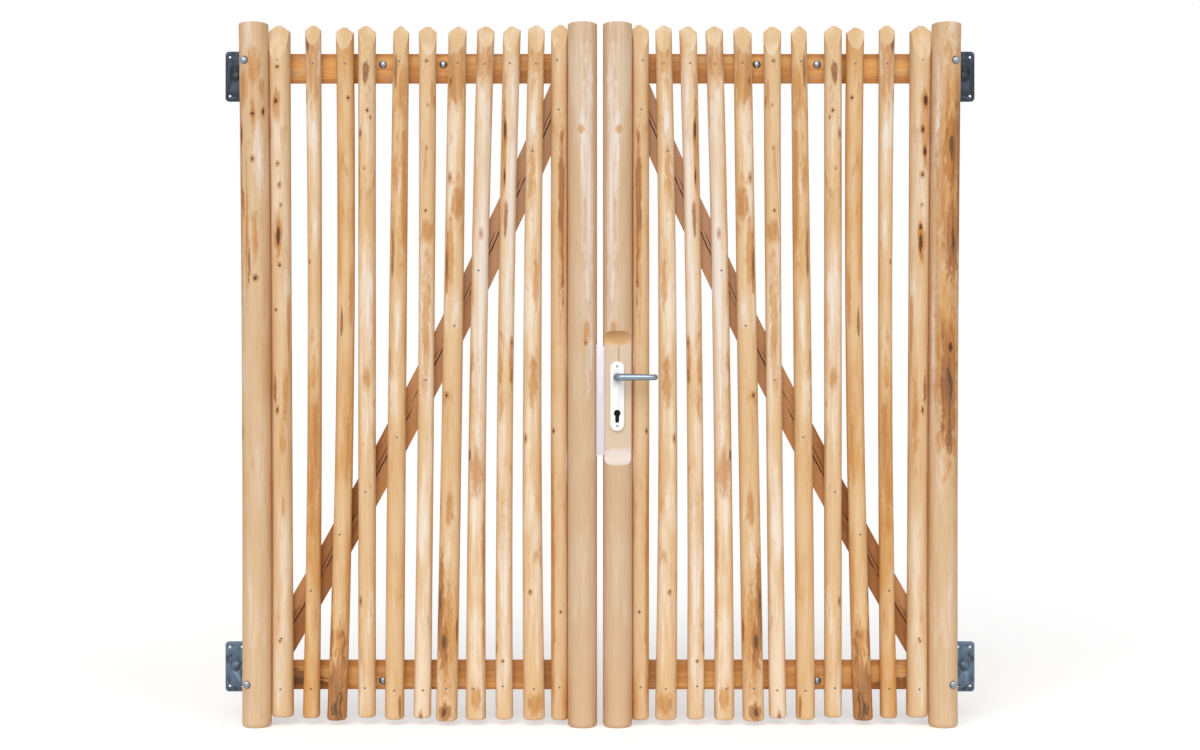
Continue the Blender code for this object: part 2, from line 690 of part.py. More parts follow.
def make_lock_post():
    """The right meeting post: planed thin at the lock, and mortised for it from the side."""
    post = make_post("right_meeting_post", 1, (MEETING_POST_X,) * 3)
    plane_flat(post, "front flat", LOCK_FRONT_SPAN, FRONT_FLAT_Y, -1)
    plane_flat(post, "back flat", LOCK_BACK_SPAN, BACK_FLAT_Y, 1)
    half = FOREND_WIDTH / 2 + RUNNING_GAP
    low, high = from_spindle(FOREND_SPAN)
    cut_box(
        post,
        "forend recess",
        (0, POST_Y - half, low - RUNNING_GAP),
        (CASE_X[0] + FIT, POST_Y + half, high + RUNNING_GAP),
    )
    half = CASE_HALF_THICKNESS + RUNNING_GAP
    low, high = from_spindle(CASE_SPAN)
    cut_box(
        post,
        "lock mortise",
        (CASE_X[0] - FIT, POST_Y - half, low - RUNNING_GAP),
        (CASE_X[1] + RUNNING_GAP, POST_Y + half, high + RUNNING_GAP),
    )
    ends = [(SPINDLE_X, POST_Y + y, SPINDLE_Z) for y in (-POST_RADIUS, POST_RADIUS)]
    cut_rod(post, "spindle hole", *ends, LEVER_NECK_RADIUS + 0.001)
    cut_keyhole(post, "keyhole in post", POST_Y - POST_RADIUS, POST_Y + POST_RADIUS, 0.0005)


def make_strike_post():
    """The left meeting post, planed flat on its side where the strike is fixed."""
    post = make_post("left_meeting_post", -1, (MEETING_POST_X,) * 3)
    low, high = from_spindle(STRIKE_SPAN)
    seat_x = -GATE_GAP / 2 - STRIKE_SEAT_DEPTH
    cut_box(
        post,
        "strike seat",
        (seat_x, POST_Y - POST_RADIUS, low - STRIKE_HOLE_MARGIN),
        (0, POST_Y + POST_RADIUS, high + STRIKE_HOLE_MARGIN),
    )


def make_strike():
    """A box section on the left leaf, holed for the bolts, its lip in front of the right leaf."""
    sheet = STRIKE_SHEET
    seat = -GATE_GAP / 2 - STRIKE_SEAT_DEPTH + FIT
    face = GATE_GAP / 2 - STRIKE_FACE_INSET
    stop = GATE_GAP / 2 + STRIKE_STOP_OVERLAP
    front, back = FRONT_FLAT_Y - STRIKE_STOP_GAP - sheet, POST_Y + STRIKE_BACK_Y
    low, high = from_spindle(STRIKE_SPAN)
    outline = [
        (seat, front),
        (stop, front),
        (stop, front + sheet),
        (face, front + sheet),
        (face, back),
        (seat, back),
    ]
    place = Matrix.Translation((0, 0, (low + high) / 2))
    strike = add("strike_plate", plate_mesh("strike_plate", outline, high - low, place), zinc())
    over = STRIKE_HOLE_MARGIN
    cut_box(
        strike,
        "strike hollow",
        (seat + sheet, front + sheet, low - over),
        (face - sheet, back - sheet, high + over),
    )
    for name, span in (("latch", LATCH_SPAN), ("dead bolt", DEAD_BOLT_SPAN)):
        low, high = from_spindle(span)
        cut_box(
            strike,
            f"strike {name} hole",
            (face - 2 * sheet, POST_Y - STRIKE_HOLE_HALF_WIDTH, low - over),
            (face + sheet, POST_Y + STRIKE_HOLE_HALF_WIDTH, high + over),
        )


# ---------------------------------------------------------------- lock
def make_lock_case():
    """The forend with the case welded behind it, hollow, and open for all that passes through."""
    half = FOREND_WIDTH / 2
    low, high = from_spindle(FOREND_SPAN)
    forend = (FOREND_X, POST_Y - half, low), (CASE_X[0], POST_Y + half, high)
    case = add("lock_case", box_mesh("lock_case", *forend), zinc())
    half, wall = CASE_HALF_THICKNESS, CASE_WALL
    low, high = from_spindle(CASE_SPAN)
    shell = (CASE_X[0] - wall, POST_Y - half, low), (CASE_X[1], POST_Y + half, high)
    boolean(case, add_cutter("lock shell", box_mesh("lock shell", *shell)), "UNION")
    cut_box(
        case,
        "lock hollow",
        (CASE_X[0], POST_Y - half + wall, low + wall),
        (CASE_X[1] - wall, POST_Y + half - wall, high - wall),
    )
    for name, thickness, span in (
        ("latch", LATCH_HALF_THICKNESS, LATCH_SPAN),
        ("dead bolt", DEAD_BOLT_HALF_THICKNESS, DEAD_BOLT_SPAN),
    ):
        around = thickness + RUNNING_GAP / 2
        low, high = from_spindle(span)
        cut_box(
            case,
            f"forend {name} hole",
            (0, POST_Y - around, low - RUNNING_GAP),
            (CASE_X[0] + wall, POST_Y + around, high + RUNNING_GAP),
        )
    ends = [(SPINDLE_X, POST_Y + y, SPINDLE_Z) for y in (-2 * half, 2 * half)]
    cut_rod(case, "hub hole", *ends, HUB_RADIUS + RUNNING_GAP, POST_SIDES)
    cut_keyhole(case, "keyhole in case", POST_Y - half, POST_Y + half, 0.0002)


def make_follower():
    """The hub that the spindle turns, with the arm that draws the latch."""
    half = CASE_HALF_THICKNESS
    ends = [(SPINDLE_X, POST_Y + y, SPINDLE_Z) for y in (-half, half)]
    mesh = rod_mesh("lock_follower", *ends, HUB_RADIUS, POST_SIDES)
    follower = add("lock_follower", mesh, bright_steel())
    arm = box_mesh(
        "follower arm",
        (SPINDLE_X - ARM_WIDTH / 2, POST_Y + ARM_Y[0], SPINDLE_Z),
        (SPINDLE_X + ARM_WIDTH / 2, POST_Y + ARM_Y[1], SPINDLE_Z + ARM_LENGTH),
    )
    boolean(follower, add_cutter("follower arm", arm), "UNION")
    cut_socket(follower, "follower socket", POST_Y - 2 * half, POST_Y + 2 * half)


def cut_socket(part, name, low_y, high_y):
    """A square hole for the spindle."""
    half = SPINDLE_SIZE / 2 + FIT
    cut_box(
        part,
        name,
        (SPINDLE_X - half, low_y, SPINDLE_Z - half),
        (SPINDLE_X + half, high_y, SPINDLE_Z + half),
    )


def make_spindle():
    """The square bar that joins the two levers through the follower."""
    half, end_gap = SPINDLE_SIZE / 2, 0.001
    reach = SOCKET_DEPTH - end_gap
    low = (SPINDLE_X - half, FRONT_FLAT_Y - reach, SPINDLE_Z - half)
    high = (SPINDLE_X + half, BACK_FLAT_Y + reach, SPINDLE_Z + half)
    add("lever_spindle", box_mesh("lever_spindle", low, high), bright_steel())


def make_latch():
    """The spring latch: a head with a slanting front, and a tail with a peg behind the arm."""
    half = LATCH_HALF_THICKNESS
    tip = FOREND_X - LATCH_THROW
    root = tip + LATCH_HEAD_LENGTH
    head = [(tip, half), (root, half), (root, -half), (tip + LATCH_THROW, -half), (tip, half - half / 3)]
    low, high = from_spindle(LATCH_SPAN)
    place = Matrix.Translation((0, POST_Y, (low + high) / 2))
    mesh = plate_mesh("latch_bolt", head, high - low, place)
    latch = add("latch_bolt", mesh, bright_steel())
    peg_x = SPINDLE_X + ARM_WIDTH / 2 + LATCH_PEG_GAP
    end_x = peg_x + LATCH_PEG_WIDTH
    low, high = from_spindle(LATCH_TAIL_SPAN)
    tail = box_mesh(
        "latch tail",
        (root - half, POST_Y + LATCH_TAIL_Y[0], low),
        (end_x, POST_Y + LATCH_TAIL_Y[1], high),
    )
    peg = box_mesh(
        "latch peg",
        (peg_x, POST_Y + ARM_Y[0], low),
        (end_x, POST_Y + LATCH_TAIL_Y[1], low + LATCH_PEG_HEIGHT),
    )
    boolean(latch, add_cutter("latch tail", tail), "UNION")
    boolean(latch, add_cutter("latch peg", peg), "UNION")


def make_dead_bolt():
    """The bolt that the key throws, drawn in."""
    half = DEAD_BOLT_HALF_THICKNESS
    low, high = from_spindle(DEAD_BOLT_SPAN)
    corners = (FOREND_X, POST_Y - half, low), (FOREND_X + DEAD_BOLT_LENGTH, POST_Y + half, high)
    add("dead_bolt", box_mesh("dead_bolt", *corners), bright_steel())


# ---------------------------------------------------------------- handle set
def make_handle_plate(word, flat_y, outward):
    """A long plate with round ends, holed for the lever and the lock cylinder."""
    name = f"{word}_handle_plate"
    low, high = from_spindle(HANDLE_PLATE_SPAN)
    middle_y = flat_y + outward * (FIT + HANDLE_PLATE_THICKNESS / 2)
    corner = HANDLE_PLATE_WIDTH / 2 - 1e-4
    outline = rounded_rectangle(HANDLE_PLATE_WIDTH, high - low, corner, 6)
    place = facing_front(SPINDLE_X, middle_y, (low + high) / 2)
    plate = add(name, plate_mesh(name, outline, HANDLE_PLATE_THICKNESS, place), aluminium())
    front, back = middle_y - HANDLE_PLATE_THICKNESS, middle_y + HANDLE_PLATE_THICKNESS
    ends = [(SPINDLE_X, y, SPINDLE_Z) for y in (front, back)]
    cut_rod(plate, f"{word} neck hole", *ends, LEVER_NECK_RADIUS + RUNNING_GAP, POST_SIDES)
    cut_keyhole(plate, f"keyhole in {word} plate", front, back, 0.0002)


def lever_route():
    """Along and out from the spindle's axis: out, round a bend, along, and back at the tail."""
    reach, end = LEVER_REACH, LEVER_LENGTH - LEVER_TAIL_RADIUS
    first = arc((LEVER_BEND, reach - LEVER_BEND), LEVER_BEND, math.pi, math.pi / 2, 5)
    last = arc((end - LEVER_BEND, reach - LEVER_BEND), LEVER_BEND, math.pi / 2, 0, 5)
    return [(0.0, 2 * FIT), *first, *last, (end, reach - LEVER_RETURN)]


def lever_radius(along):
    """Widest at the neck, slimmest at the tail."""
    share = min(1.0, max(0.0, along / LEVER_LENGTH))
    if share == 0.0:
        return LEVER_NECK_RADIUS
    return LEVER_BAR_RADIUS + (LEVER_TAIL_RADIUS - LEVER_BAR_RADIUS) * share


def make_lever(word, flat_y, outward):
    """A lever handle whose end turns back towards the gate."""
    name = f"{word}_lever"
    route = lever_route()
    points = [(SPINDLE_X + along, flat_y + outward * out, SPINDLE_Z) for along, out in route]
    neck_end = 2
    radii = [LEVER_NECK_RADIUS if i < neck_end else lever_radius(p[0]) for i, p in enumerate(route)]
    lever = add(name, tube_mesh(name, points, radii), aluminium())
    socket = sorted((flat_y - outward * FIT, flat_y + outward * SOCKET_DEPTH))
    cut_socket(lever, f"{word} lever socket", *socket)


# ---------------------------------------------------------------- the gate
def make_leaf(word, side):
    make_hinge_post(word, side)
    make_pales(word, side)
    make_brace(word, side)
    make_hinges(word, side)


def make_lock():
    make_lock_case()
    make_follower()
    make_spindle()
    make_latch()
    make_dead_bolt()
    for word, flat_y, outward in (("front", FRONT_FLAT_Y, -1), ("back", BACK_FLAT_Y, 1)):
        make_handle_plate(word, flat_y, outward)
        make_lever(word, flat_y, outward)


def main():
    start()
    for word, side in SIDES:
        make_leaf(word, side)
    make_strike_post()
    make_lock_post()
    make_strike()
    make_lock()


main()
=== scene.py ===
"""The finished look of a double garden gate of peeled poles, laid over its CAD model.

Each operator dresses one kind of piece: the poles with their peeled skin, knots and cut ends, the
half-round rails and braces, the galvanised hinges, and the lock with its levers. The last one
sets the stage. Lengths are in metres. The gate stands on the floor with its front towards -Y.
"""

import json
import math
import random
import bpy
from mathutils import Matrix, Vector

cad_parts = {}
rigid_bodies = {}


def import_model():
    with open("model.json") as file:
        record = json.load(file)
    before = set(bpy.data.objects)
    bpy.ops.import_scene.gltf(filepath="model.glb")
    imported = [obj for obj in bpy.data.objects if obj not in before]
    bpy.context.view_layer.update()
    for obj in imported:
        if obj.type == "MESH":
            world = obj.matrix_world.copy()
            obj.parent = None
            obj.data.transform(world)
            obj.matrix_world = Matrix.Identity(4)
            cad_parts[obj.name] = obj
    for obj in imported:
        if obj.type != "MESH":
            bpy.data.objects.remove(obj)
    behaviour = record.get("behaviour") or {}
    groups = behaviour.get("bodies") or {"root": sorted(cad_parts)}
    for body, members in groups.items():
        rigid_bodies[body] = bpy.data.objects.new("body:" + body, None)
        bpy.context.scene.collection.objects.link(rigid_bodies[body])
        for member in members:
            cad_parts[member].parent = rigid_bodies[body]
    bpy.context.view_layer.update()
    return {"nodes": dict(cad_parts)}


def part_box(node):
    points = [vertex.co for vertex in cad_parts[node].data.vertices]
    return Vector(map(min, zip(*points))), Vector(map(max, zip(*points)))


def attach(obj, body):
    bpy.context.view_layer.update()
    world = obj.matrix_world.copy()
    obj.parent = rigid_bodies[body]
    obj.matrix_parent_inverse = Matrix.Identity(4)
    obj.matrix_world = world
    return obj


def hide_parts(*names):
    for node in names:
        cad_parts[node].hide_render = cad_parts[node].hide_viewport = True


bl_info = {
    "name": "Peeled Pole Gate",
    "version": (1, 0, 0),
    "blender": (4, 5, 0),
    "location": "3D View > Sidebar > Pole Gate",
    "description": "Dresses the pieces of a double garden gate made of peeled poles",
    "category": "Object",
}

import bmesh
import bpy
import numpy as np
from bpy.props import FloatProperty, FloatVectorProperty, IntProperty, PointerProperty
from mathutils import Matrix, Vector

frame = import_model()

SIDES = {"left": -1, "right": 1}
LEVELS = ("upper", "lower")
FACES = {"front": -1, "back": 1}
PALE_COUNT = 11
FIT = 0.0003  # between pieces that touch
PAST = 0.2  # how far a shape reaches that cuts right through a post
FRONT = Vector((0, -1, 0))
SEEDS = {  # of the random draws, the same on both leaves
    "hinge_post": 100, "pale": 200, "meeting_post": 300, "upper_rail": 400, "lower_rail": 410,
    "brace": 420, "nails": 500,
}


# ---------------------------------------------------------------- sizes and colours
def tint(code):
    """The linear colour of a web colour such as E0C090."""
    parts = [int(code[i : i + 2], 16) / 255 for i in (0, 2, 4)]
    return tuple(c / 12.92 if c <= 0.04045 else ((c + 0.055) / 1.055) ** 2.4 for c in parts)


def length(name, text, default):
    kind = {"subtype": "DISTANCE", "unit": "LENGTH"}
    return FloatProperty(name=name, description=text, default=default, min=0.0, **kind)


def colour(name, text, code):
    span = {"min": 0.0, "max": 1.0, "subtype": "COLOR"}
    return FloatVectorProperty(name=name, description=text, default=tint(code), **span)


class WoodLook(bpy.types.PropertyGroup):
    """The peeled poles and the half-round rails."""

    ring_sides: IntProperty(name="Sides", description="Faces round a pole", default=40, min=12)
    ring_pitch: length("Ring pitch", "Distance between the rings of a pole", 0.0075)
    hollow: length("Draw-knife hollow", "How far the knife went below the round", 0.0011)
    knot_rise: length("Knot rise", "How far a knot stands up or sinks", 0.0009)
    slab_pitch: length("Rail pitch", "Distance between the slices of a rail", 0.008)
    slab_edge: length("Rail edge", "Width of the eased edges of a rail", 0.0018)
    slab_half: length("Half width", "Of the flat of a rail or brace", 0.0385)
    waver: length("Waver", "How far the outline of a rail sinks here and there", 0.0012)
    sapwood: colour("Sapwood", "The palest wood, next to the bark", "F5EAE0")
    cream: colour("Cream", "Pale peeled wood", "F6E3C9")
    tan: colour("Tan", "Peeled wood of a middling tone", "E6C294")
    golden: colour("Golden", "The ripest peeled wood", "D49A55")
    stain: colour("Stain", "Orange stains of the inner bark", "BC7A3C")
    post: colour("Post wood", "The greyer wood of the thick posts", "C9AC93")
    bark: colour("Bark", "What is left of the inner bark", "87583A")
    old_bark: colour("Old bark", "Dark scales of the outer bark", "54402F")
    knot: colour("Knot", "The heart of a knot", "432A1B")
    cut: colour("Cut wood", "Freshly cut facets and ends", "E2BE8E")
    cut_ring: colour("Growth ring", "Late wood in a cut end", "CFA06A")
    planed: colour("Planed flat", "The flat that the lock's plate lies on", "DDC9B4")
    chopped: colour("Chopped end", "The bruised lower end of that flat", "EDE1DA")
    rail: colour("Rail", "The sawn flat of the rails", "F5BA6E")
    # Rail shade is also the painted shade along the edges of the rails' and braces' flats.
    rail_dark: colour("Rail shade", "The darker grain and edges of the rails", "BB7A43")


class IronLook(bpy.types.PropertyGroup):
    """The hinges, the bolts and the nails."""

    edge: length("Edge", "Rounding of the straps' and plates' edges", 0.0006)
    dish_radius: length("Dish radius", "Of the dish pressed round the pin's root", 0.0125)
    dish_depth: length("Dish depth", "How deep the dish's rim is pressed", 0.0011)
    dish_wire: length("Dish wire", "Thickness radius of the dish's rim", 0.0022)
    bolt_head: length("Bolt head", "Diameter of a bolt's domed head", 0.0204)
    bolt_rise: length("Bolt head height", "Height of a bolt's domed head", 0.0048)
    bolt_shank: length("Bolt", "Diameter of a bolt", 0.0078)
    bolt_tail: length("Bolt tail", "From a bolt's end to what its nut bears on", 0.0125)
    washer: length("Washer", "Diameter of a washer", 0.0158)
    nut: length("Nut", "Across the corners of a nut", 0.0148)
    nail_head: length("Nail head", "Diameter of a nail's head", 0.0062)
    nail_rise: length("Nail head height", "How far a nail's head stands up", 0.0011)
    zinc_dark: colour("Weathered zinc", "The dark clouds of galvanised steel", "272E38")
    zinc_pale: colour("Fresh zinc", "The pale clouds of galvanised steel", "5F7183")
    fastener: colour("Fastener", "Bolts, nuts and screws", "9097A0")
    nail: colour("Nail", "Heads of the nails", "77756F")


class LockLook(bpy.types.PropertyGroup):
    """The lock, its strike and its levers."""

    edge: length("Edge", "Rounding of the handle plates", 0.0016)
    neck_radius: length("Neck radius", "Of the lever where it leaves the plate", 0.0100)
    bar_radius: length("Bar radius", "Of the lever's bar at its root", 0.0095)
    tail_radius: length("Tail radius", "Of the lever's turned tail", 0.0074)
    bend: length("Bend radius", "Of the lever's two bends", 0.0118)
    screw_head: length("Screw head", "Diameter of a screw's head", 0.0066)
    screw_rise: length("Screw head height", "How far a screw's head stands up", 0.0007)
    screw_above: length("Upper screw", "From the spindle's axis up to it", 0.0280)
    screw_below: length("Lower screw", "From the spindle's axis down to it", 0.1240)
    plated: colour("Plated steel", "The strike and the lock's forend", "E6DEE3")
    bright: colour("Bright steel", "Bolts and works of the lock", "B9BCC0")
    plate: colour("Satin plate", "The two handle plates", "FCFBFB")
    lever: colour("Satin aluminium", "The two levers", "8C99A8")


class StageLook(bpy.types.PropertyGroup):
    """The camera, the lamps and the floor."""

    distance: length("Camera distance", "From the camera to the fronts of the pales", 4.60)
    height: length("Camera height", "Of the lens above the floor", 0.8997)
    width: length("Width in view", "How much of the gate's plane the frame takes in", 3.067)
    floor_size: length("Floor size", "Side of the square floor", 30.0)
    key: FloatProperty(name="Key", description="Strength of the lamp in front", default=1.56)
    fill: FloatProperty(name="Fill", description="Strength of the sky", default=0.34)
    floor: colour("Floor", "The floor under the gate", "F2F2F2")


LOOKS = {"gate_wood": WoodLook, "gate_iron": IronLook, "gate_lock": LockLook, "gate_stage": StageLook}


def wood():
    return bpy.context.scene.gate_wood


def iron():
    return bpy.context.scene.gate_iron


def lock():
    return bpy.context.scene.gate_lock


# ---------------------------------------------------------------- nodes
class Nodes:
    """Builds a node tree. An input takes a value, the socket to link to it, or a list of these."""

    def __init__(self, tree):
        self.tree = tree

    def fill(self, socket, value):
        for one in value if isinstance(value, list) else [value]:
            if isinstance(one, bpy.types.NodeSocket):
                self.tree.links.new(one, socket)
            else:
                socket.default_value = one

    def put(self, kind, settings=None, **inputs):
        """Adds a node and fills its inputs. A key such as in_2 stands for the third input."""
        node = self.tree.nodes.new(kind)
        for key, value in (settings or {}).items():
            setattr(node, key, value)
        for key, value in inputs.items():
            place = int(key[3:]) if key.startswith("in_") else key.replace("_", " ")
            self.fill(node.inputs[place], value)
        return node

    def math(self, operation, first, second=0.0, third=0.0):
        inputs = {"in_0": first, "in_1": second, "in_2": third}
        return self.put("ShaderNodeMath", {"operation": operation}, **inputs).outputs[0]

    def plus(self, first, second):
        return self.math("ADD", first, second)

    def times(self, first, *others):
        for other in others:
            first = self.math("MULTIPLY", first, other)
        return first

    def scaled(self, value, by, plus):
        return self.math("MULTIPLY_ADD", value, by, plus)

    def point(self, x=0.0, y=0.0, z=0.0):
        return self.put("ShaderNodeCombineXYZ", in_0=x, in_1=y, in_2=z).outputs[0]

    def parts(self, vector):
        return self.put("ShaderNodeSeparateXYZ", in_0=vector).outputs


class Finish(Nodes):
    """A material with one Principled shader. Its colour is built up coat by coat."""

    def __init__(self, name, roughness, metallic=0.0, specular=0.5, place=None):
        self.material = bpy.data.materials.new(name)
        self.material.use_nodes = True
        super().__init__(self.material.node_tree)
        self.tree.nodes.clear()
        self.shader = self.put("ShaderNodeBsdfPrincipled", Metallic=metallic, Roughness=roughness)
        self.shader.inputs["Specular IOR Level"].default_value = specular
        self.put("ShaderNodeOutputMaterial", Surface=self.shader.outputs[0])
        self.colour = None
        if place:  # an attribute that gives the place along, across and into a piece
            self.place = self.vector(place)
        else:  # Object coordinates, the same on both leaves
            x, y, z = self.parts(self.put("ShaderNodeTexCoord").outputs["Object"])
            self.place = self.point(self.math("ABSOLUTE", x), y, z)

    def field(self, name, output="Fac"):
        return self.put("ShaderNodeAttribute", {"attribute_name": name}).outputs[output]

    def vector(self, name):
        return self.field(name, "Vector")

    def ease(self, value, low, high, start=0.0, end=1.0):
        """Eases a value from start, at low, to end, at high."""
        inputs = {"in_0": value, "in_1": low, "in_2": high, "in_3": start, "in_4": end}
        settings = {"interpolation_type": "SMOOTHSTEP"}
        return self.put("ShaderNodeMapRange", settings, **inputs).outputs[0]

    def stretched(self, scale, shift=(0.0, 0.0, 0.0)):
        return self.put("ShaderNodeMapping", Vector=self.place, Location=shift, Scale=scale).outputs[0]

    def noise(self, scale, shift=(0.0, 0.0, 0.0), detail=4.0, rough=0.55, twist=0.0):
        """Noise from about 0.25 to 0.75, its grain as long or short as the scale says."""
        inputs = {"Scale": 1.0, "Detail": detail, "Roughness": rough, "Distortion": twist}
        where = self.stretched(scale, shift)
        return self.put("ShaderNodeTexNoise", Vector=where, **inputs).outputs["Fac"]

    def cells(self, scale):
        where = self.stretched(scale)
        return self.put("ShaderNodeTexVoronoi", Vector=where, Scale=1.0).outputs

    def mark(self, name, ragged, amount, soft):
        """Where a painted mark covers the wood, its edge made ragged by a noise."""
        field = self.field(name)
        off = self.scaled(ragged, amount, -amount / 2)
        return self.ease(self.plus(field, off), 0.5 - soft, 0.5 + soft)

    def blend(self, share, first, second):
        """Blends two colours, each a socket or a linear RGB."""
        node = self.put("ShaderNodeMix", {"data_type": "RGBA"})
        inputs = {socket.identifier: socket for socket in node.inputs}
        self.fill(inputs["Factor_Float"], share)
        for name, value in (("A_Color", first), ("B_Color", second)):
            self.fill(inputs[name], value if isinstance(value, bpy.types.NodeSocket) else (*value, 1.0))
        return next(s for s in node.outputs if s.identifier == "Result_Color")

    def coat(self, share, colour):
        self.colour = self.blend(share, self.colour, colour)

    def finished(self, height, distance, strength, rough=None):
        self.fill(self.shader.inputs["Base Color"], self.colour)
        if rough:
            self.fill(self.shader.inputs["Roughness"], rough)
        bump = self.put("ShaderNodeBump", Strength=strength, Distance=distance, Height=height)
        self.fill(self.shader.inputs["Normal"], bump.outputs[0])
        return self.material


# ---------------------------------------------------------------- wood finishes
def peeled_wood(name):
    """Barked hazel or chestnut: cream to golden, with stains, inner bark and knots."""
    look, skin = wood(), Finish(name, 0.62, specular=0.3)
    cloud = skin.noise((17, 17, 4.2), detail=3)
    patch = skin.noise((34, 34, 9), (3, 1, 7), 5, 0.6, 0.6)
    streak = skin.noise((95, 95, 5.5), (5, 2, 3), 5, 0.62)
    grain = skin.noise((330, 330, 14), rough=0.6)
    ragged = skin.noise((70, 70, 20), (1, 8, 2), 6, 0.65, 0.8)
    ticks = skin.noise((520, 520, 48), (6, 6, 2), 3, 0.6)
    wild = skin.field("wild")

    swing = skin.plus(skin.scaled(cloud, 1.5, -0.75), skin.scaled(streak, 0.95, -0.475))
    # the tone also carries the painted shade on the sides of each pole
    ripe = skin.plus(skin.field("tone"), swing)
    skin.colour = skin.blend(skin.ease(ripe, -0.05, 0.45), look.cream, look.tan)
    skin.coat(skin.ease(ripe, 0.45, 1.1), look.golden)
    skin.coat(skin.ease(ripe, 1.05, 1.7, 0.0, 0.7), look.stain)
    skin.coat(skin.ease(grain, 0.45, 0.75, 0.0, 0.36), look.golden)
    skin.coat(skin.scaled(wild, -0.5, 0.5), look.post)
    skin.coat(skin.ease(ticks, 0.62, 0.74, 0.0, 0.45), look.stain)
    skin.coat(skin.times(wild, skin.ease(patch, 0.57, 0.72, 0.0, 0.55)), look.stain)

    heart = skin.ease(skin.field("sap"), 0.62, 0.90, 0.0, 0.8)
    streaky = skin.math("MAXIMUM", skin.ease(streak, 0.30, 0.56, 0.9, 0.35), heart)
    skin.coat(skin.times(skin.mark("sap", ragged, 1.3, 0.20), streaky), look.sapwood)
    deep = skin.blend(skin.ease(streak, 0.35, 0.65), look.golden, look.stain)
    skin.coat(skin.times(skin.mark("stain", ragged, 1.5, 0.24), 0.78), deep)
    bark = skin.mark("bark", ragged, 1.2, 0.12)
    fibrous = skin.blend(skin.ease(streak, 0.38, 0.62), look.stain, look.bark)
    skin.coat(skin.times(bark, 0.85), fibrous)
    scales = skin.scaled(patch, 1.1, skin.field("bark"))
    skin.coat(skin.ease(scales, 1.36, 1.50, 0.0, 0.85), look.old_bark)

    cells = skin.cells((26, 26, 11))  # a few of them hold a small knot
    rare = skin.times(wild, skin.ease(skin.parts(cells["Color"])[0], 0.87, 0.89))
    for low, high, most, shade in ((0.26, 0.10, 0.6, look.stain), (0.10, 0.06, 0.85, look.bark)):
        skin.coat(skin.times(rare, skin.ease(cells["Distance"], low, high, 0.0, most)), shade)
    knot = skin.plus(skin.field("knot"), skin.scaled(ragged, 0.56, -0.28))
    skin.coat(skin.ease(knot, 0.34, 0.56, 0.0, 0.62), look.stain)
    skin.coat(skin.ease(knot, 0.64, 0.76, 0.0, 0.92), look.knot)

    height = skin.scaled(grain, 0.5, skin.times(streak, 0.9))
    height = skin.scaled(bark, 0.35, height)
    height = skin.scaled(skin.ease(knot, 0.45, 0.65), -0.8, height)
    return skin.finished(height, 0.0011, 0.75, skin.ease(streak, 0.3, 0.7, 0.52, 0.72))


def cut_wood(name):
    """The sawn or planed facets of a pole, its growth rings cut across or aslant."""
    look, cut = wood(), Finish(name, 0.68, specular=0.25)
    x, y, z = cut.parts(cut.vector("from_axis"))
    out = cut.put("ShaderNodeVectorMath", {"operation": "LENGTH"}, in_0=cut.point(x, y))
    ring = cut.scaled(cut.noise((30, 30, 8), detail=2), 0.006, out.outputs["Value"])
    ring = cut.math("SINE", cut.times(ring, 2 * math.pi / 0.0034))  # a ring for every 3.4 mm
    fibre = cut.noise((260, 260, 26))
    cloud = cut.noise((24, 24, 9), (2, 5, 1), 3)
    late = cut.times(cut.ease(ring, 0.1, 1.0), 0.20)
    late = cut.plus(late, cut.scaled(fibre, 0.7, -0.3))
    cut.colour = cut.blend(late, look.cut, look.cut_ring)
    cut.coat(cut.ease(cloud, 0.42, 0.66, 0.0, 0.6), look.cream)

    # the flat under the lock's plate: golden tan where it runs out above, painted shade on the run-out
    # that faces down, and bruised where it does below
    level = cut.plus(z, -middle_of("lever_spindle").z - 0.025)
    level = cut.scaled(cloud, 0.05, level)
    flat = cut.field("planed")
    dull = cut.blend(cut.ease(fibre, 0.4, 0.7, 0.0, 0.5), look.planed, look.tan)
    cut.coat(cut.times(flat, cut.ease(level, 0.078, 0.088, 0.85, 0.15)), dull)
    # Painted shade: golden on the upper run-out, which faces down.
    cut.coat(cut.times(flat, cut.ease(level, 0.082, 0.100, 0.0, 0.7)), look.golden)
    cut.coat(cut.times(flat, cut.ease(level, -0.176, -0.190, 0.0, 0.8)), look.chopped)
    aside = cut.math("ABSOLUTE", cut.plus(x, -0.003))
    line = cut.times(cut.ease(aside, 0.0012, 0.0026, 0.6, 0.0), flat)
    line = cut.times(line, cut.ease(level, 0.038, 0.044), cut.ease(level, 0.084, 0.092, 1.0, 0.0))
    cut.coat(line, look.stain)
    return cut.finished(cut.scaled(ring, 0.2, fibre), 0.0006, 0.6)


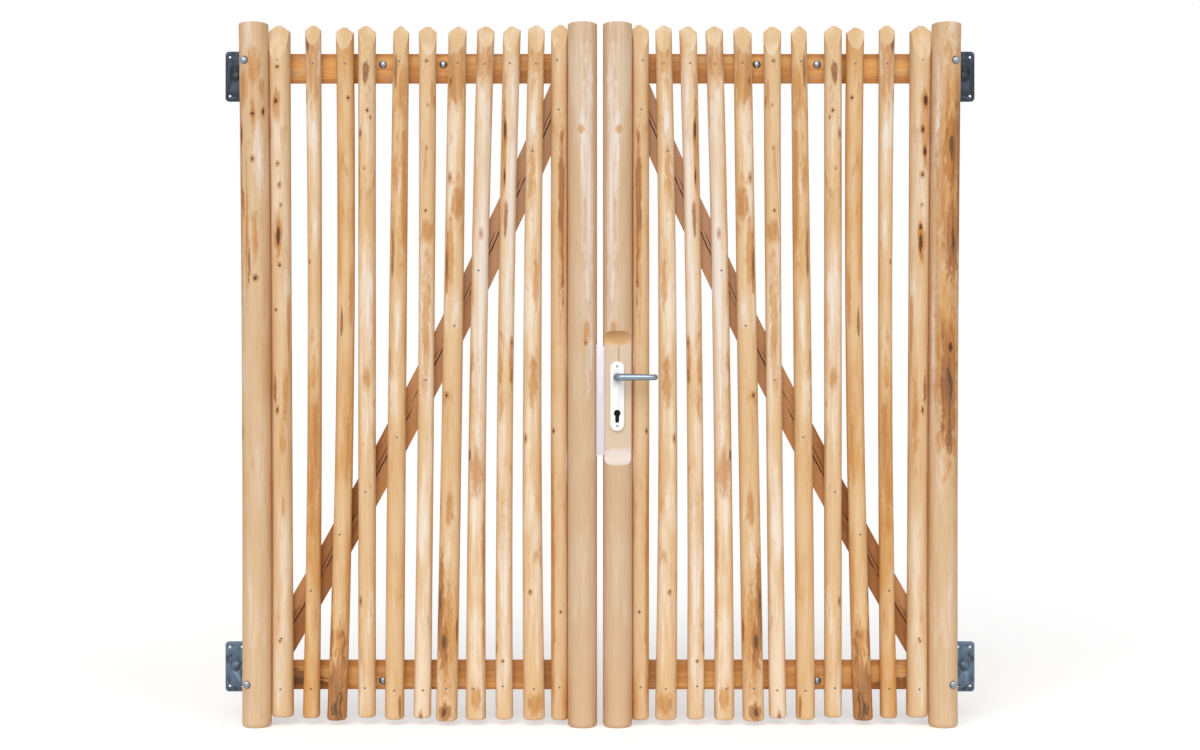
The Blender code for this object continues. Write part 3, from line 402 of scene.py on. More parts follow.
def half_round_wood(name):
    """The rails and braces: orange-tan sawn flats with drying cracks, painted shade darkening each flat
    towards its edges, and painted light making the braces paler high up.
    """
    look, slab = wood(), Finish(name, 0.66, specular=0.25, place="slab")
    along, across, _ = slab.parts(slab.place)
    band = slab.noise((3.0, 60, 60), detail=5, rough=0.6, twist=0.4)
    fibre = slab.noise((12, 330, 330))
    cloud = slab.noise((7, 22, 22), (4, 4, 1), 3)
    ragged = slab.noise((16, 90, 90), (2, 1, 6), 6, 0.7)
    split = slab.field("split")  # 1 on the braces, 0 on the rails
    slab.colour = slab.blend(slab.ease(band, 0.36, 0.70, 0.0, 0.62), look.rail, look.rail_dark)
    slab.coat(slab.ease(cloud, 0.48, 0.66, 0.0, 0.55), look.tan)
    slab.coat(slab.ease(fibre, 0.48, 0.75, 0.0, 0.35), look.rail_dark)
    # Painted light: the braces turn paler high up, against the shadow that the pales cast on them.
    slab.coat(slab.times(split, slab.ease(along, 0.70, 1.30, 0.20, 0.85)), look.cream)

    worn = slab.scaled(ragged, 1.0, slab.plus(slab.field("worn"), -0.5))
    scars = slab.ease(worn, 0.50, 0.64, 0.0, 0.85)
    slab.coat(scars, slab.blend(slab.ease(band, 0.40, 0.58), look.bark, look.knot))
    # Painted shade: each flat darkens towards both its edges.
    edge = slab.scaled(band, 0.5, slab.plus(slab.field("shade"), -0.25))
    slab.coat(slab.ease(edge, 0.35, 0.85, 0.0, 0.7), look.rail_dark)

    wobble = slab.noise((9, 1, 1), (7, 0, 0), 5, 0.6)
    crack = 0.0
    for off, part, half in ((0.007, 1, 0.0016), (-0.002, 5, 0.0009)):
        line = slab.math("ABSOLUTE", slab.scaled(wobble, -0.014, slab.plus(across, off)))
        runs = slab.ease(slab.noise((8, 1, 1), (part, 3, 0), 3), 0.40, 0.50)
        found = slab.math("LESS_THAN", line, slab.times(runs, split, half))
        crack = slab.math("MAXIMUM", found, crack)
    slab.coat(crack, look.knot)
    height = slab.scaled(fibre, 0.5, band)
    height = slab.scaled(scars, -0.5, height)
    return slab.finished(slab.scaled(crack, -1.5, height), 0.0012, 0.7)


# ---------------------------------------------------------------- metal finishes
def galvanised_steel(name):
    """Hot-dipped steel with its crystal flowers and dark clouds."""
    zinc = Finish(name, 0.46, metallic=0.55)
    flower = zinc.parts(zinc.cells((110, 110, 90))["Color"])[0]
    cloud = zinc.noise((38, 38, 30), detail=5, rough=0.6, twist=0.7)
    fine = zinc.noise((420, 420, 420), detail=3)
    mix = zinc.scaled(flower, 0.22, zinc.times(cloud, 0.95))
    # Painted light and shade: each piece is made brighter low down and darker high up.
    mix = zinc.plus(mix, zinc.field("fresh"))
    zinc.colour = zinc.blend(zinc.ease(mix, 0.40, 0.86), iron().zinc_dark, iron().zinc_pale)
    rough = zinc.ease(cloud, 0.35, 0.65, 0.36, 0.56)
    return zinc.finished(zinc.scaled(fine, 0.3, cloud), 0.0005, 0.5, rough)


def brushed(name, shade, roughness, metallic, scale, depth=0.0002, darker=0.82, shaded_rims=None):
    """A drawn or brushed metal: fine lines along its length, faint clouds, and painted shade along its
    rims.
    """
    metal = Finish(name, roughness, metallic=metallic)
    lines = metal.noise(scale, detail=3)
    cloud = metal.noise((28, 28, 28), (3, 3, 3))
    share = metal.scaled(lines, 0.5, metal.times(cloud, 0.6))
    dim = [c * darker for c in shade]
    metal.colour = metal.blend(metal.ease(share, 0.40, 0.72), shade, dim)
    if shaded_rims:  # its lowest and highest x, by whose edges the painted shade lies
        x = metal.parts(metal.put("ShaderNodeTexCoord").outputs["Object"])[0]
        off = metal.math("ABSOLUTE", metal.plus(x, -sum(shaded_rims) / 2))
        half = (shaded_rims[1] - shaded_rims[0]) / 2
        # Painted shade: the metal darkens towards both rims in x.
        rim = metal.ease(off, half - 0.0032, half - 0.0006, 0.0, 0.7)
        metal.coat(rim, [c * 0.62 for c in shade])
    rough = metal.ease(lines, 0.3, 0.7, roughness - 0.05, roughness + 0.08)
    return metal.finished(lines, depth, 0.35, rough)


def metals():
    """What makes each brushed metal: its colour, roughness, metalness, grain and the rest."""
    plated = (lock().plated, 0.48, 0.15, (260, 260, 16), 0.0002, 0.90)
    return {
        "zinc fasteners": (iron().fastener, 0.30, 0.9, (180, 180, 180)),
        "nail steel": (iron().nail, 0.45, 0.7, (220, 220, 220)),
        "plated steel": plated,
        # the strike, with painted shade along its two rims
        "folded steel": (*plated, [corner.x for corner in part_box("strike_plate")]),
        "bright steel": (lock().bright, 0.28, 0.95, (240, 240, 30)),
        "satin plate": (lock().plate, 0.40, 0.10, (300, 300, 18), 0.0001, 0.95),
        "satin aluminium": (lock().lever, 0.30, 0.85, (14, 300, 300), 0.0001, 0.9),
        # painted shade: the near-black of the sheet inside the keyhole
        "dark iron": ((0.006, 0.006, 0.007), 0.7, 0.0, (90, 90, 90)),
    }


MAKERS = {
    "peeled wood": peeled_wood,
    "cut wood": cut_wood,
    "half round wood": half_round_wood,
    "galvanised steel": galvanised_steel,
}


def finish_named(name):
    """Makes a material the first time that it is asked for, and finds it again afterwards."""
    found = bpy.data.materials.get(name)
    if found:
        return found
    return MAKERS[name](name) if name in MAKERS else brushed(name, *metals()[name])


# ---------------------------------------------------------------- meshes
def middle_of(node):
    return sum(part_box(node), Vector()) / 2


def new_piece(name, mesh, *finishes):
    for finish in finishes:
        mesh.materials.append(finish_named(finish))
    piece = bpy.data.objects.new(name, mesh)
    bpy.context.scene.collection.objects.link(piece)
    return piece


def settle(piece, nodes):
    """Lets a finished piece stand for its CAD nodes and ride on their body."""
    body = frame["nodes"][nodes[0]].parent.name.split(":")[1]
    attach(piece, body)
    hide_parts(*nodes)
    return piece


def bm_of(mesh):
    bm = bmesh.new()
    bm.from_mesh(mesh)
    return bm


def bm_from(points, faces):
    mesh = bpy.data.meshes.new("shape")
    mesh.from_pydata(points, [], faces)
    bm = bm_of(mesh)
    bpy.data.meshes.remove(mesh)
    return bm


def mesh_of(bm, name):
    bmesh.ops.recalc_face_normals(bm, faces=bm.faces[:])
    mesh = bpy.data.meshes.new(name)
    bm.to_mesh(mesh)
    bm.free()
    return mesh


def smooth(mesh, degrees=35):
    mesh.shade_smooth()
    mesh.set_sharp_from_angle(angle=math.radians(degrees))


def merged_copy(node):
    """A CAD node's mesh with its triangles joined, and its flats made whole again."""
    bm = bm_of(frame["nodes"][node].data)
    bmesh.ops.remove_doubles(bm, verts=bm.verts[:], dist=1e-6)
    flat = {"angle_limit": math.radians(0.5), "use_dissolve_boundaries": False}
    bmesh.ops.dissolve_limit(bm, verts=bm.verts[:], edges=bm.edges[:], **flat)
    return bm


def bevel(bm, edges, width, **settings):
    settings = {"offset_type": "OFFSET", "affect": "EDGES", **settings}
    bmesh.ops.bevel(bm, geom=edges, offset=width, **settings)


def ease_edges(bm, width, degrees=50):
    steep = math.radians(degrees)
    sharp = [e for e in bm.edges if len(e.link_faces) == 2 and e.calc_face_angle(0.0) > steep]
    bevel(bm, sharp, width, segments=2, profile=0.6, clamp_overlap=True)


def slice_at(bm, point, normal, dist, **settings):
    geometry = bm.verts[:] + bm.edges[:] + bm.faces[:]
    plane = {"plane_co": point, "plane_no": normal, "dist": dist}
    return bmesh.ops.bisect_plane(bm, geom=geometry, **plane, **settings)


def slice_off(bm, point, normal):
    """Cuts away what lies beyond a plane, and closes the cut with a facet of cut wood."""
    result = slice_at(bm, point, normal, 1e-6, clear_outer=True)
    rim = [g for g in result["geom_cut"] if isinstance(g, bmesh.types.BMEdge)]
    bmesh.ops.edgeloop_fill(bm, edges=rim, mat_nr=1)


def finished_with(bm, number):
    for face in bm.faces:
        face.material_index = number
    return bm


def box_bm(low, high, finish=1):
    bm = bmesh.new()
    bmesh.ops.create_cube(bm, size=1.0)
    for corner in bm.verts:
        corner.co = [low[i] if corner.co[i] < 0 else high[i] for i in range(3)]
    return finished_with(bm, finish)


def box_mesh(name, low, high, finish=1):
    return mesh_of(box_bm(low, high, finish), name)


def rod_mesh(name, start_point, end_point, radius):
    start_point, end_point = Vector(start_point), Vector(end_point)
    line = end_point - start_point
    turn = line.to_track_quat("Z", "Y").to_matrix().to_4x4()
    place = Matrix.Translation((start_point + end_point) / 2) @ turn
    size = {"radius1": radius, "radius2": radius, "depth": line.length}
    bm = bmesh.new()
    bmesh.ops.create_cone(bm, cap_ends=True, segments=24, matrix=place, **size)
    return mesh_of(finished_with(bm, 1), name)


def carved(piece, cutters):
    """Cuts each shape out of the piece, and leaves it a plain mesh again."""
    tools = []
    for number, cutter in enumerate(cutters):
        tool = bpy.data.objects.new(f"cutter {number}", cutter)
        bpy.context.scene.collection.objects.link(tool)
        tool.hide_render = True
        cut = piece.modifiers.new(f"cut {number}", "BOOLEAN")
        cut.object, cut.solver, cut.material_mode = tool, "EXACT", "INDEX"
        tools.append(tool)
    applied(piece)
    for tool in tools:
        mesh = tool.data
        bpy.data.objects.remove(tool)
        bpy.data.meshes.remove(mesh)


def applied(piece):
    """Turns the piece's modifiers into its mesh."""
    graph = bpy.context.evaluated_depsgraph_get()
    graph.update()
    result = bpy.data.meshes.new_from_object(piece.evaluated_get(graph), depsgraph=graph)
    piece.modifiers.clear()
    old, name = piece.data, piece.data.name
    piece.data = result
    bpy.data.meshes.remove(old)
    result.name = name


def corners_of(mesh):
    flat = np.empty(len(mesh.vertices) * 3, np.float64)
    mesh.vertices.foreach_get("co", flat)
    return flat.reshape(-1, 3)


def store(mesh, name, values, kind="FLOAT"):
    layer = mesh.attributes.get(name) or mesh.attributes.new(name, kind, "POINT")
    key = "value" if kind == "FLOAT" else "vector"
    layer.data.foreach_set(key, np.asarray(values, np.float32).ravel())


# ---------------------------------------------------------------- poles
class Pole:
    """The middle line and the thickness of a CAD pole, read from its rings."""

    def __init__(self, node):
        points = np.unique(np.round(corners_of(frame["nodes"][node].data), 6), axis=0)
        low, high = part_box(node)
        self.low, self.high = low.z, high.z
        self.side = 1 if (low.x + high.x) > 0 else -1
        self.back = high.y
        rings = []
        for level, count in zip(*np.unique(points[:, 2], return_counts=True)):
            ring = points[points[:, 2] == level]
            width, depth = np.ptp(ring[:, 0]), np.ptp(ring[:, 1])
            whole = count >= 10 and abs(width - depth) < 0.0015
            if whole and abs(ring[:, 1].max() - self.back) < 1e-4:
                rings.append((level, (ring[:, 0].max() + ring[:, 0].min()) / 2, width / 2))
        heights, middles, radii = np.array(rings).T
        order = min(2, len(rings) - 1)
        self.middle_line = np.polyfit(heights, middles, order)
        self.radius_line = np.polyfit(heights, radii, order)

    def lean_on(self, other):
        """Moves the middle line until this pole touches the other: both stand on one plane."""
        way = 1 if other.middle(1.0) > self.middle(1.0) else -1
        z = np.linspace(self.low, self.high, 12)
        reach = 2 * np.sqrt(self.radius(z) * other.radius(z))
        self.middle_line = np.polyfit(z, other.middle(z) - way * reach, 2)

    def radius(self, z):
        return np.polyval(self.radius_line, z)

    def middle(self, z):
        return np.polyval(self.middle_line, z)

    def depth(self, z):
        """The y of the middle line: the back of a pole is straight."""
        return self.back - self.radius(z)


def waves(rng, angle, z, count, turns, pitch):
    """A gentle wandering between about -1 and 1, from a few crossed waves."""
    total = np.zeros_like(z + angle)
    for _ in range(count):
        around = rng.randint(*turns)
        rise = rng.uniform(*pitch) * rng.choice((-1, 1))
        total += np.sin(around * angle + rise * z + rng.uniform(0, 2 * np.pi))
    return total / count


def mark_fields(marks, angle, z):
    """How strongly each kind of mark lies at each point. 0.5 is the edge of a mark."""
    fields = {kind: np.zeros_like(z) for kind in ("stain", "sap", "bark", "knot")}
    for kind, low, high, at, width in marks:
        centre = math.asin(max(-0.97, min(0.97, at)))
        if width < 0:  # given for the front, turned half round
            centre, width = math.pi - centre, -width
        half = max(0.004, (high - low) / 2)
        off = np.abs(np.angle(np.exp(1j * (angle - centre))))
        reach = np.hypot((z - (low + high) / 2) / half, off / (width * np.pi / 2))
        fields[kind] = np.maximum(fields[kind], 1 - reach / (3.0 if kind == "knot" else 2.0))
    return {kind: np.clip(field, 0, 1) for kind, field in fields.items()}


def back_marks(pole, rng, count=9):
    """Stains, pale strips and knots for the side that turns away from the front."""
    for _ in range(count):
        kind = rng.choice(("stain", "stain", "sap", "bark", "knot"))
        middle = rng.uniform(pole.low + 0.1, pole.high - 0.1)
        half = rng.uniform(0.005, 0.012) if kind == "knot" else rng.uniform(0.03, 0.16)
        width = rng.uniform(0.08, 0.14) if kind == "knot" else rng.uniform(0.12, 0.4)
        yield kind, middle - half, middle + half, rng.uniform(-0.95, 0.95), -width


def pole_skin(pole, rng, foot_chamfer, head_chamfer, marks, wild):
    """A closed skin of rings: knife facets in front, straight and full at the back."""
    look = wood()
    sides = look.ring_sides
    count = max(8, round((pole.high - pole.low) / look.ring_pitch))
    body = np.linspace(pole.low + foot_chamfer, pole.high - head_chamfer, count)
    eased = np.sin(np.linspace(0, np.pi / 2, 5))[:-1]
    foot, head = pole.low + foot_chamfer * eased, pole.high - head_chamfer * eased[::-1]
    heights = np.concatenate([foot, body, head])
    foot = foot_chamfer * 0.5 * (1 - np.sqrt(1 - (1 - eased) ** 2))
    head = head_chamfer * (1 - np.sqrt(1 - (1 - eased[::-1]) ** 2))
    shrink = np.concatenate([foot, np.zeros(count), head])
    angles = np.linspace(0, 2 * np.pi, sides, endpoint=False)
    z, angle = np.meshgrid(heights, angles, indexing="ij")
    mirrored = angle * pole.side * -1  # the same wandering on both leaves
    facing = 0.5 + 0.5 * np.cos(angle)  # 1 in front, 0 at the back
    hollow = 0.5 + 0.5 * waves(rng, mirrored, z, 5, (2, 5), (4, 16))
    hollow = 0.75 * hollow + 0.25 * (0.5 + 0.5 * waves(rng, mirrored, z, 5, (3, 9), (25, 70)))
    reach = 0.15 + 0.85 * facing if wild > 0.8 else np.clip(np.cos(angle), 0, 1)
    knots = mark_fields(marks, mirrored, z)["knot"]
    bulge = np.clip(knots * 1.5, 0, 1) * facing
    dent = np.clip((knots - 0.5) * 3, 0, 1) * facing
    sink = np.maximum(0, look.hollow * hollow * reach - look.knot_rise * bulge)
    radius = pole.radius(z) - shrink[:, None] - sink - 0.6 * look.knot_rise * dent
    x = pole.middle(z) + radius * np.sin(angle)
    y = np.minimum(pole.depth(z) - radius * np.cos(angle), pole.back)
    points = np.stack([x, y, z], -1).reshape(-1, 3).tolist()
    index = np.arange(len(points)).reshape(len(heights), sides)
    after = np.roll(index, -1, axis=1)
    faces = np.stack([index[:-1], after[:-1], after[1:], index[1:]], -1).reshape(-1, 4).tolist()
    walls = len(faces)
    for ring in (0, -1):
        level = float(heights[ring])
        faces += [(int(a), int(b), len(points)) for a, b in zip(index[ring], after[ring])]
        points.append((pole.middle(level), float(pole.depth(level)), level))
    bm = bm_from(points, faces)
    bm.faces.ensure_lookup_table()
    for face in bm.faces[walls:]:
        face.material_index = 1
    return bm


def paint(mesh, pole, rng, tone, marks, wild):
    """Stores on every corner what the wood finishes read."""
    points = corners_of(mesh)
    z = points[:, 2]
    across, through = points[:, 0] - pole.middle(z), points[:, 1] - pole.depth(z)
    angle = np.arctan2(across, -through) * pole.side * -1
    for kind, field in mark_fields(marks, angle, z).items():
        store(mesh, kind, field)
    share = np.clip((z - 0.5) / 0.8, 0, 1)
    drift = 0.12 * waves(rng, angle, z, 4, (1, 3), (3, 9))
    turned = np.clip(1 - np.cos(angle), 0, 1) ** 2  # painted shade: the sides of each pole are made riper and darker than its front
    store(mesh, "tone", tone[0] + (tone[1] - tone[0]) * share + drift + 0.60 * turned)
    store(mesh, "wild", np.full(len(z), wild))
    store(mesh, "from_axis", np.stack([across, through, z], -1), "FLOAT_VECTOR")
    smooth(mesh)


# Marks on the front of each pole, by kind: their lowest and highest point, where they lie from the
# edge by the hinges (-1) to the edge by the gate's middle (+1), and how wide they are.
HINGE_POST_MARKS = {
    "knot": [
        (1.485, 1.54, -0.8, 0.07), (1.558, 1.57, 0.02, 0.09), (1.443, 1.455, 0.0, 0.08),
        (1.56, 1.582, 0.72, 0.08), (1.14, 1.154, 0.15, 0.09),
    ],
    "stain": [
        (1.6, 1.68, -0.55, 0.2), (1.53, 1.6, 0.05, 0.12), (1.6, 1.655, 0.62, 0.14),
        (1.19, 1.31, 0.12, 0.11), (1.1, 1.45, -0.45, 0.09), (1.05, 1.74, -0.9, 0.16),
        (1.64, 1.72, 0.1, 0.3),
    ],
    "bark": [
        (1.29, 1.385, -0.72, 0.1), (1.12, 1.25, -0.28, 0.06), (1.36, 1.43, -0.93, 0.12),
        (0.73, 0.78, -0.88, 0.09),
    ],
    "sap": [(1.36, 1.54, 0.45, 0.22)],
}
RIGHT_HINGE_POST_MARKS = {
    "knot": [(0.955, 0.985, -0.3, 0.1)],
    "stain": [(1.12, 1.72, -0.45, 0.85), (1.25, 1.62, -0.55, 0.75), (0.68, 1.2, -0.25, 0.7)],
    "bark": [
        (1.36, 1.58, -0.35, 0.34), (1.15, 1.34, -0.45, 0.34), (1.2, 1.62, -0.88, 0.2),
        (0.72, 1.03, -0.25, 0.4),
    ],
    "sap": [(1.2, 1.34, 0.0, 0.06), (1.36, 1.72, 0.66, 0.22), (0.75, 1.2, 0.8, 0.16)],
}
RIGHT_PALE_1_MARKS = {
    "knot": [
        (1.588, 1.616, -0.42, 0.13), (1.52, 1.536, -0.15, 0.1), (1.46, 1.484, -0.4, 0.13),
        (1.405, 1.42, -0.15, 0.12), (1.33, 1.338, -0.1, 0.08), (1.27, 1.286, 0.02, 0.1),
        (1.212, 1.264, 0.0, 0.13), (0.802, 0.818, -0.3, 0.09), (0.216, 0.224, -0.1, 0.07),
    ],
    "stain": [
        (1.43, 1.63, -0.42, 0.3), (1.46, 1.6, -0.4, 0.24), (1.19, 1.29, -0.12, 0.22),
        (0.97, 1.1, 0.82, 0.12), (0.68, 0.91, 0.4, 0.2),
    ],
    "bark": [(0.83, 0.9, -0.55, 0.14)],
}
PALE_MARKS = (
    {
        "knot": [
            (1.594, 1.606, -0.25, 0.1), (1.434, 1.446, -0.1, 0.09), (1.378, 1.392, 0.05, 0.1),
            (1.33, 1.338, 0.15, 0.07), (1.228, 1.28, -0.1, 0.13), (1.176, 1.186, 0.0, 0.1),
            (1.062, 1.07, -0.4, 0.08), (0.802, 0.818, -0.3, 0.09), (0.216, 0.224, -0.1, 0.07),
            (1.684, 1.69, -0.1, 0.1),
        ],
        "stain": [
            (1.55, 1.63, -0.2, 0.22), (1.21, 1.31, -0.15, 0.22), (0.97, 1.1, 0.82, 0.12),
            (0.8, 0.91, 0.5, 0.2), (0.68, 0.78, 0.2, 0.18), (0.545, 0.59, 0.25, 0.08),
        ],
        "bark": [(0.83, 0.9, -0.55, 0.14)],
    },
    {
        "knot": [(1.185, 1.195, -0.6, 0.1), (0.553, 0.557, -0.2, 0.06)],
        "stain": [(1.6, 1.78, 0.15, 0.5), (0.44, 0.92, 0.0, 0.5)],
        "bark": [(1.735, 1.8, -0.6, 0.28), (1.59, 1.64, -0.85, 0.1)],
        "sap": [(1.47, 1.58, 0.1, 0.45), (1.22, 1.34, 0.2, 0.3)],
    },
    {
        "knot": [(1.604, 1.614, 0.4, 0.1)],
        "stain": [(1.0, 1.2, 0.7, 0.16), (0.62, 0.8, 0.5, 0.2), (0.16, 0.26, 0.2, 0.4)],
        "bark": [
            (1.0, 1.07, -0.35, 0.1), (0.312, 0.357, -0.85, 0.09), (0.17, 0.28, -0.8, 0.14),
            (-0.22, 0.2, 0.0, 1.3),
        ],
    },
    {
        "knot": [(1.572, 1.582, 0.1, 0.1), (1.556, 1.562, 0.5, 0.08), (1.427, 1.433, -0.2, 0.08)],
        "stain": [(0.855, 0.915, 0.1, 0.28), (1.3, 1.5, -0.8, 0.12)],
        "bark": [(1.645, 1.705, -0.05, 0.22)],
        "sap": [(0.92, 1.22, 0.2, 0.32)],
    },
    {
        "stain": [(1.58, 1.7, 0.3, 0.45), (1.18, 1.58, 0.62, 0.26), (1.36, 1.46, -0.45, 0.22)],
        "bark": [(1.63, 1.72, -0.55, 0.18), (1.14, 1.26, -0.62, 0.14), (0.02, 0.08, 0.62, 0.14)],
        "sap": [(1.36, 1.42, 0.1, 0.12), (0.95, 1.12, 0.1, 0.25)],
    },
    {
        "knot": [
            (1.7, 1.708, -0.1, 0.08), (1.588, 1.594, 0.1, 0.07), (1.478, 1.484, 0.0, 0.08),
            (1.318, 1.324, -0.1, 0.08),
        ],
        "stain": [(1.24, 1.29, 0.0, 0.6), (0.9, 1.22, 0.05, 0.3)],
        "sap": [(0.42, 0.6, 0.1, 0.3)],
    },
    {
        "knot": [(0.843, 0.853, -0.5, 0.1)],
        "stain": [
            (1.59, 1.745, 0.0, 0.65), (1.28, 1.4, 0.35, 0.35), (1.14, 1.3, -0.35, 0.26),
            (0.51, 0.6, 0.05, 0.22), (0.09, 0.36, 0.1, 0.42),
        ],
        "bark": [
            (1.1, 1.26, -0.7, 0.14), (0.17, 0.44, -0.72, 0.26), (0.16, 0.27, -0.3, 0.26),
            (0.215, 0.275, 0.85, 0.1), (0.015, 0.06, -0.1, 0.4),
        ],
        "sap": [(1.02, 1.12, 0.4, 0.18)],
    },
    {
        "stain": [
            (1.645, 1.745, 0.0, 0.6), (0.6, 0.71, 0.0, 0.42), (0.18, 0.63, 0.82, 0.13),
            (0.05, 0.1, 0.1, 0.3),
        ],
        "bark": [(0.683, 0.708, -0.8, 0.14)],
        "sap": [(0.66, 1.7, 0.35, 0.75)],
    },
    {
        "knot": [(1.5, 1.556, -0.5, 0.08), (1.385, 1.43, -0.45, 0.07), (0.163, 0.171, -0.1, 0.09)],
        "stain": [(1.35, 1.62, -0.55, 0.2), (0.86, 0.99, 0.7, 0.18), (0.88, 0.97, -0.6, 0.15)],
        "bark": [(1.26, 1.35, -0.2, 0.14), (0.874, 0.912, 0.8, 0.12)],
        "sap": [(1.0, 1.74, 0.45, 0.55), (0.98, 1.27, 0.1, 0.36), (0.1, 0.62, 0.2, 0.3)],
    },
    {
        "knot": [(0.338, 0.35, -0.2, 0.1)],
        "stain": [
            (1.64, 1.795, 0.0, 0.36), (1.32, 1.5, -0.25, 0.3), (1.08, 1.2, 0.4, 0.22),
            (0.82, 0.94, 0.1, 0.34), (0.03, 0.085, 0.2, 0.5),
        ],
        "sap": [(1.5, 1.6, -0.3, 0.3)],
    },
    {
        "knot": [(0.75, 0.762, -0.7, 0.1), (0.289, 0.297, 0.15, 0.09)],
        "stain": [(1.05, 1.5, 0.1, 0.16), (0.1, 0.6, -0.75, 0.2)],
        "bark": [(1.04, 1.51, 0.38, 0.1), (1.24, 1.52, 0.22, 0.2)],
        "sap": [(0.9, 1.0, 0.8, 0.12), (0.6, 0.75, 0.8, 0.12)],
    },
)
MEETING_POST_MARKS = {
    "knot": [(0.978, 0.983, 0.25, 0.06)],
    "stain": [(1.515, 1.535, -0.1, 0.12), (0.98, 1.04, 0.3, 0.14)],
    "sap": [(0.92, 1.78, 0.48, 0.2), (1.22, 1.7, 0.05, 0.1)],
}
# How ripe the wood of each pale is, low down and high up: 0 is cream and 1 golden.
PALE_TONES = (
    (0.38, 0.28), (0.75, 0.35), (0.62, 0.66), (0.36, 0.30), (0.50, 0.52), (0.18, 0.30),
    (0.46, 0.36), (0.34, 0.32), (0.25, 0.32), (0.26, 0.22), (0.55, 0.52),
)
HINGE_POST_TONE = (0.42, 0.45)
MEETING_POST_TONE = (0.42, 0.30)
TIP_SIDE_ANGLE, TIP_FRONT_ANGLE = math.radians(36), math.radians(18)
TIP_VARIETY = math.radians(7)  # how much these differ from pale to pale
TIP_FLAT_SHARE = 0.2  # where a side cut starts, from the middle, in shares of the radius
POST_FOOT, PALE_FOOT, HEAD = 0.012, 0.008, 0.004  # how high the eased rims of the ends are


def dressed_pole(node, seed, tone, marks, foot, cuts=(), planes=None, wild=1.0, beside=None):
    """Makes the skin of one pole, cut, carved and painted, and lets it stand for the CAD node.

    Wild says how lively its wood is, from 0 to 1. Beside names a post that the pole leans on.
    """
    pole = Pole(node)
    if beside:
        pole.lean_on(Pole(beside))
    rng = random.Random(seed)
    marks = [(kind, *mark) for kind, group in marks.items() for mark in group]
    marks += back_marks(pole, rng)
    bm = pole_skin(pole, rng, foot, HEAD, marks, wild)
    for point, normal in planes(pole) if planes else ():
        slice_off(bm, point, normal)
    piece = new_piece(f"{node}_skin", mesh_of(bm, f"{node} skin"), "peeled wood", "cut wood")
    if cuts:
        carved(piece, cuts)
    paint(piece.data, pole, rng, tone, marks, wild)
    return settle(piece, [node])


def tip_planes(pole):
    """The two side cuts and the front cut of a pale's tip, each a little different."""
    rng = random.Random(round(abs(float(pole.middle(1.0))) * 1000))
    radius, top = float(pole.radius(pole.high)), pole.high
    x, y = float(pole.middle(top)), float(pole.depth(top))
    for way in (-1, 1):
        tilt = TIP_SIDE_ANGLE + rng.uniform(-TIP_VARIETY, TIP_VARIETY)
        normal = (pole.side * way * math.sin(tilt), 0, math.cos(tilt))
        off = pole.side * way * TIP_FLAT_SHARE * rng.uniform(0.4, 1.6) * radius
        yield (x + off, y, top), normal
    tilt = TIP_FRONT_ANGLE + rng.uniform(-0.5, 0.5) * TIP_VARIETY
    skew = rng.uniform(-0.25, 0.25) * pole.side
    yield (x, y, top), Vector((skew, -math.cos(tilt), math.sin(tilt))).normalized()


class GATE_OT_hinge_posts(bpy.types.Operator):
    """Peels the two posts that carry the hinges, with a spot face for each bolt"""

    bl_idname = "pole_gate.hinge_posts"
    bl_label = "Hinge posts"

    def execute(self, context):
        for word, marks in (("left", HINGE_POST_MARKS), ("right", RIGHT_HINGE_POST_MARKS)):
            cuts = []
            for level in LEVELS:
                x, _, z = middle_of(f"{word}_{level}_post_bolt")
                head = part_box(f"{word}_{level}_post_bolt")[0].y
                ends = (x, head - 0.05, z), (x, head + iron().bolt_rise + FIT, z)
                cuts.append(rod_mesh("spot face", *ends, iron().bolt_head / 2 + 0.0012))
            node = f"{word}_hinge_post"
            seed = SEEDS["hinge_post"]
            dressed_pole(node, seed, HINGE_POST_TONE, marks, POST_FOOT, cuts, wild=0.4)
        return {"FINISHED"}


class GATE_OT_pales(bpy.types.Operator):
    """Peels the pales of both leaves and cuts their tips"""

    bl_idname = "pole_gate.pales"
    bl_label = "Pales"

    def execute(self, context):
        for word in SIDES:
            for number, marks in enumerate(PALE_MARKS, 1):
                node = f"{word}_pale_{number:02d}"
                if node == "right_pale_01":
                    marks = RIGHT_PALE_1_MARKS
                beside = {1: f"{word}_hinge_post", PALE_COUNT: f"{word}_meeting_post"}.get(number)
                given = SEEDS["pale"] + number, PALE_TONES[number - 1], marks, PALE_FOOT
                wild = 0.7 if beside else 1.0
                dressed_pole(node, *given, planes=tip_planes, wild=wild, beside=beside)
        return {"FINISHED"}


THROUGH = 0.1  # how far a hole's cutter reaches to both sides of the gate's plane
FRONT_FLAT = (0.224, 0.118)  # how far it reaches below and above the spindle's axis
BACK_FLAT = (0.166, 0.069)
RUN_OUT = 0.024  # over which a flat curves out of the post
KEY_HEIGHT = 0.045  # of the keyhole's round, above the foot of the handle plates
KEY_SLOT = 0.026  # length of the keyhole's slot
KEY_HALF = 0.0055  # half the width of that slot
HOLE_RADIUS = 0.009  # of the keyhole's round, and of the spindle's hole


def flat_cutter(name, low, high, outward):
    """A block whose two deep edges are rounded, so that a planed flat runs out in a curve."""
    bm = box_bm(low, high)
    deep = low[1] if outward > 0 else high[1]
    edges = [
        e for e in bm.edges
        if all(abs(v.co.y - deep) < 1e-5 for v in e.verts)
        and abs(e.verts[0].co.z - e.verts[1].co.z) < 1e-5
    ]
    bevel(bm, edges, RUN_OUT, segments=10, profile=0.5, material=1)
    return mesh_of(bm, name)


def grown(node, by):
    """A CAD node's box, made larger all round."""
    low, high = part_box(node)
    return low - Vector(by), high + Vector(by)


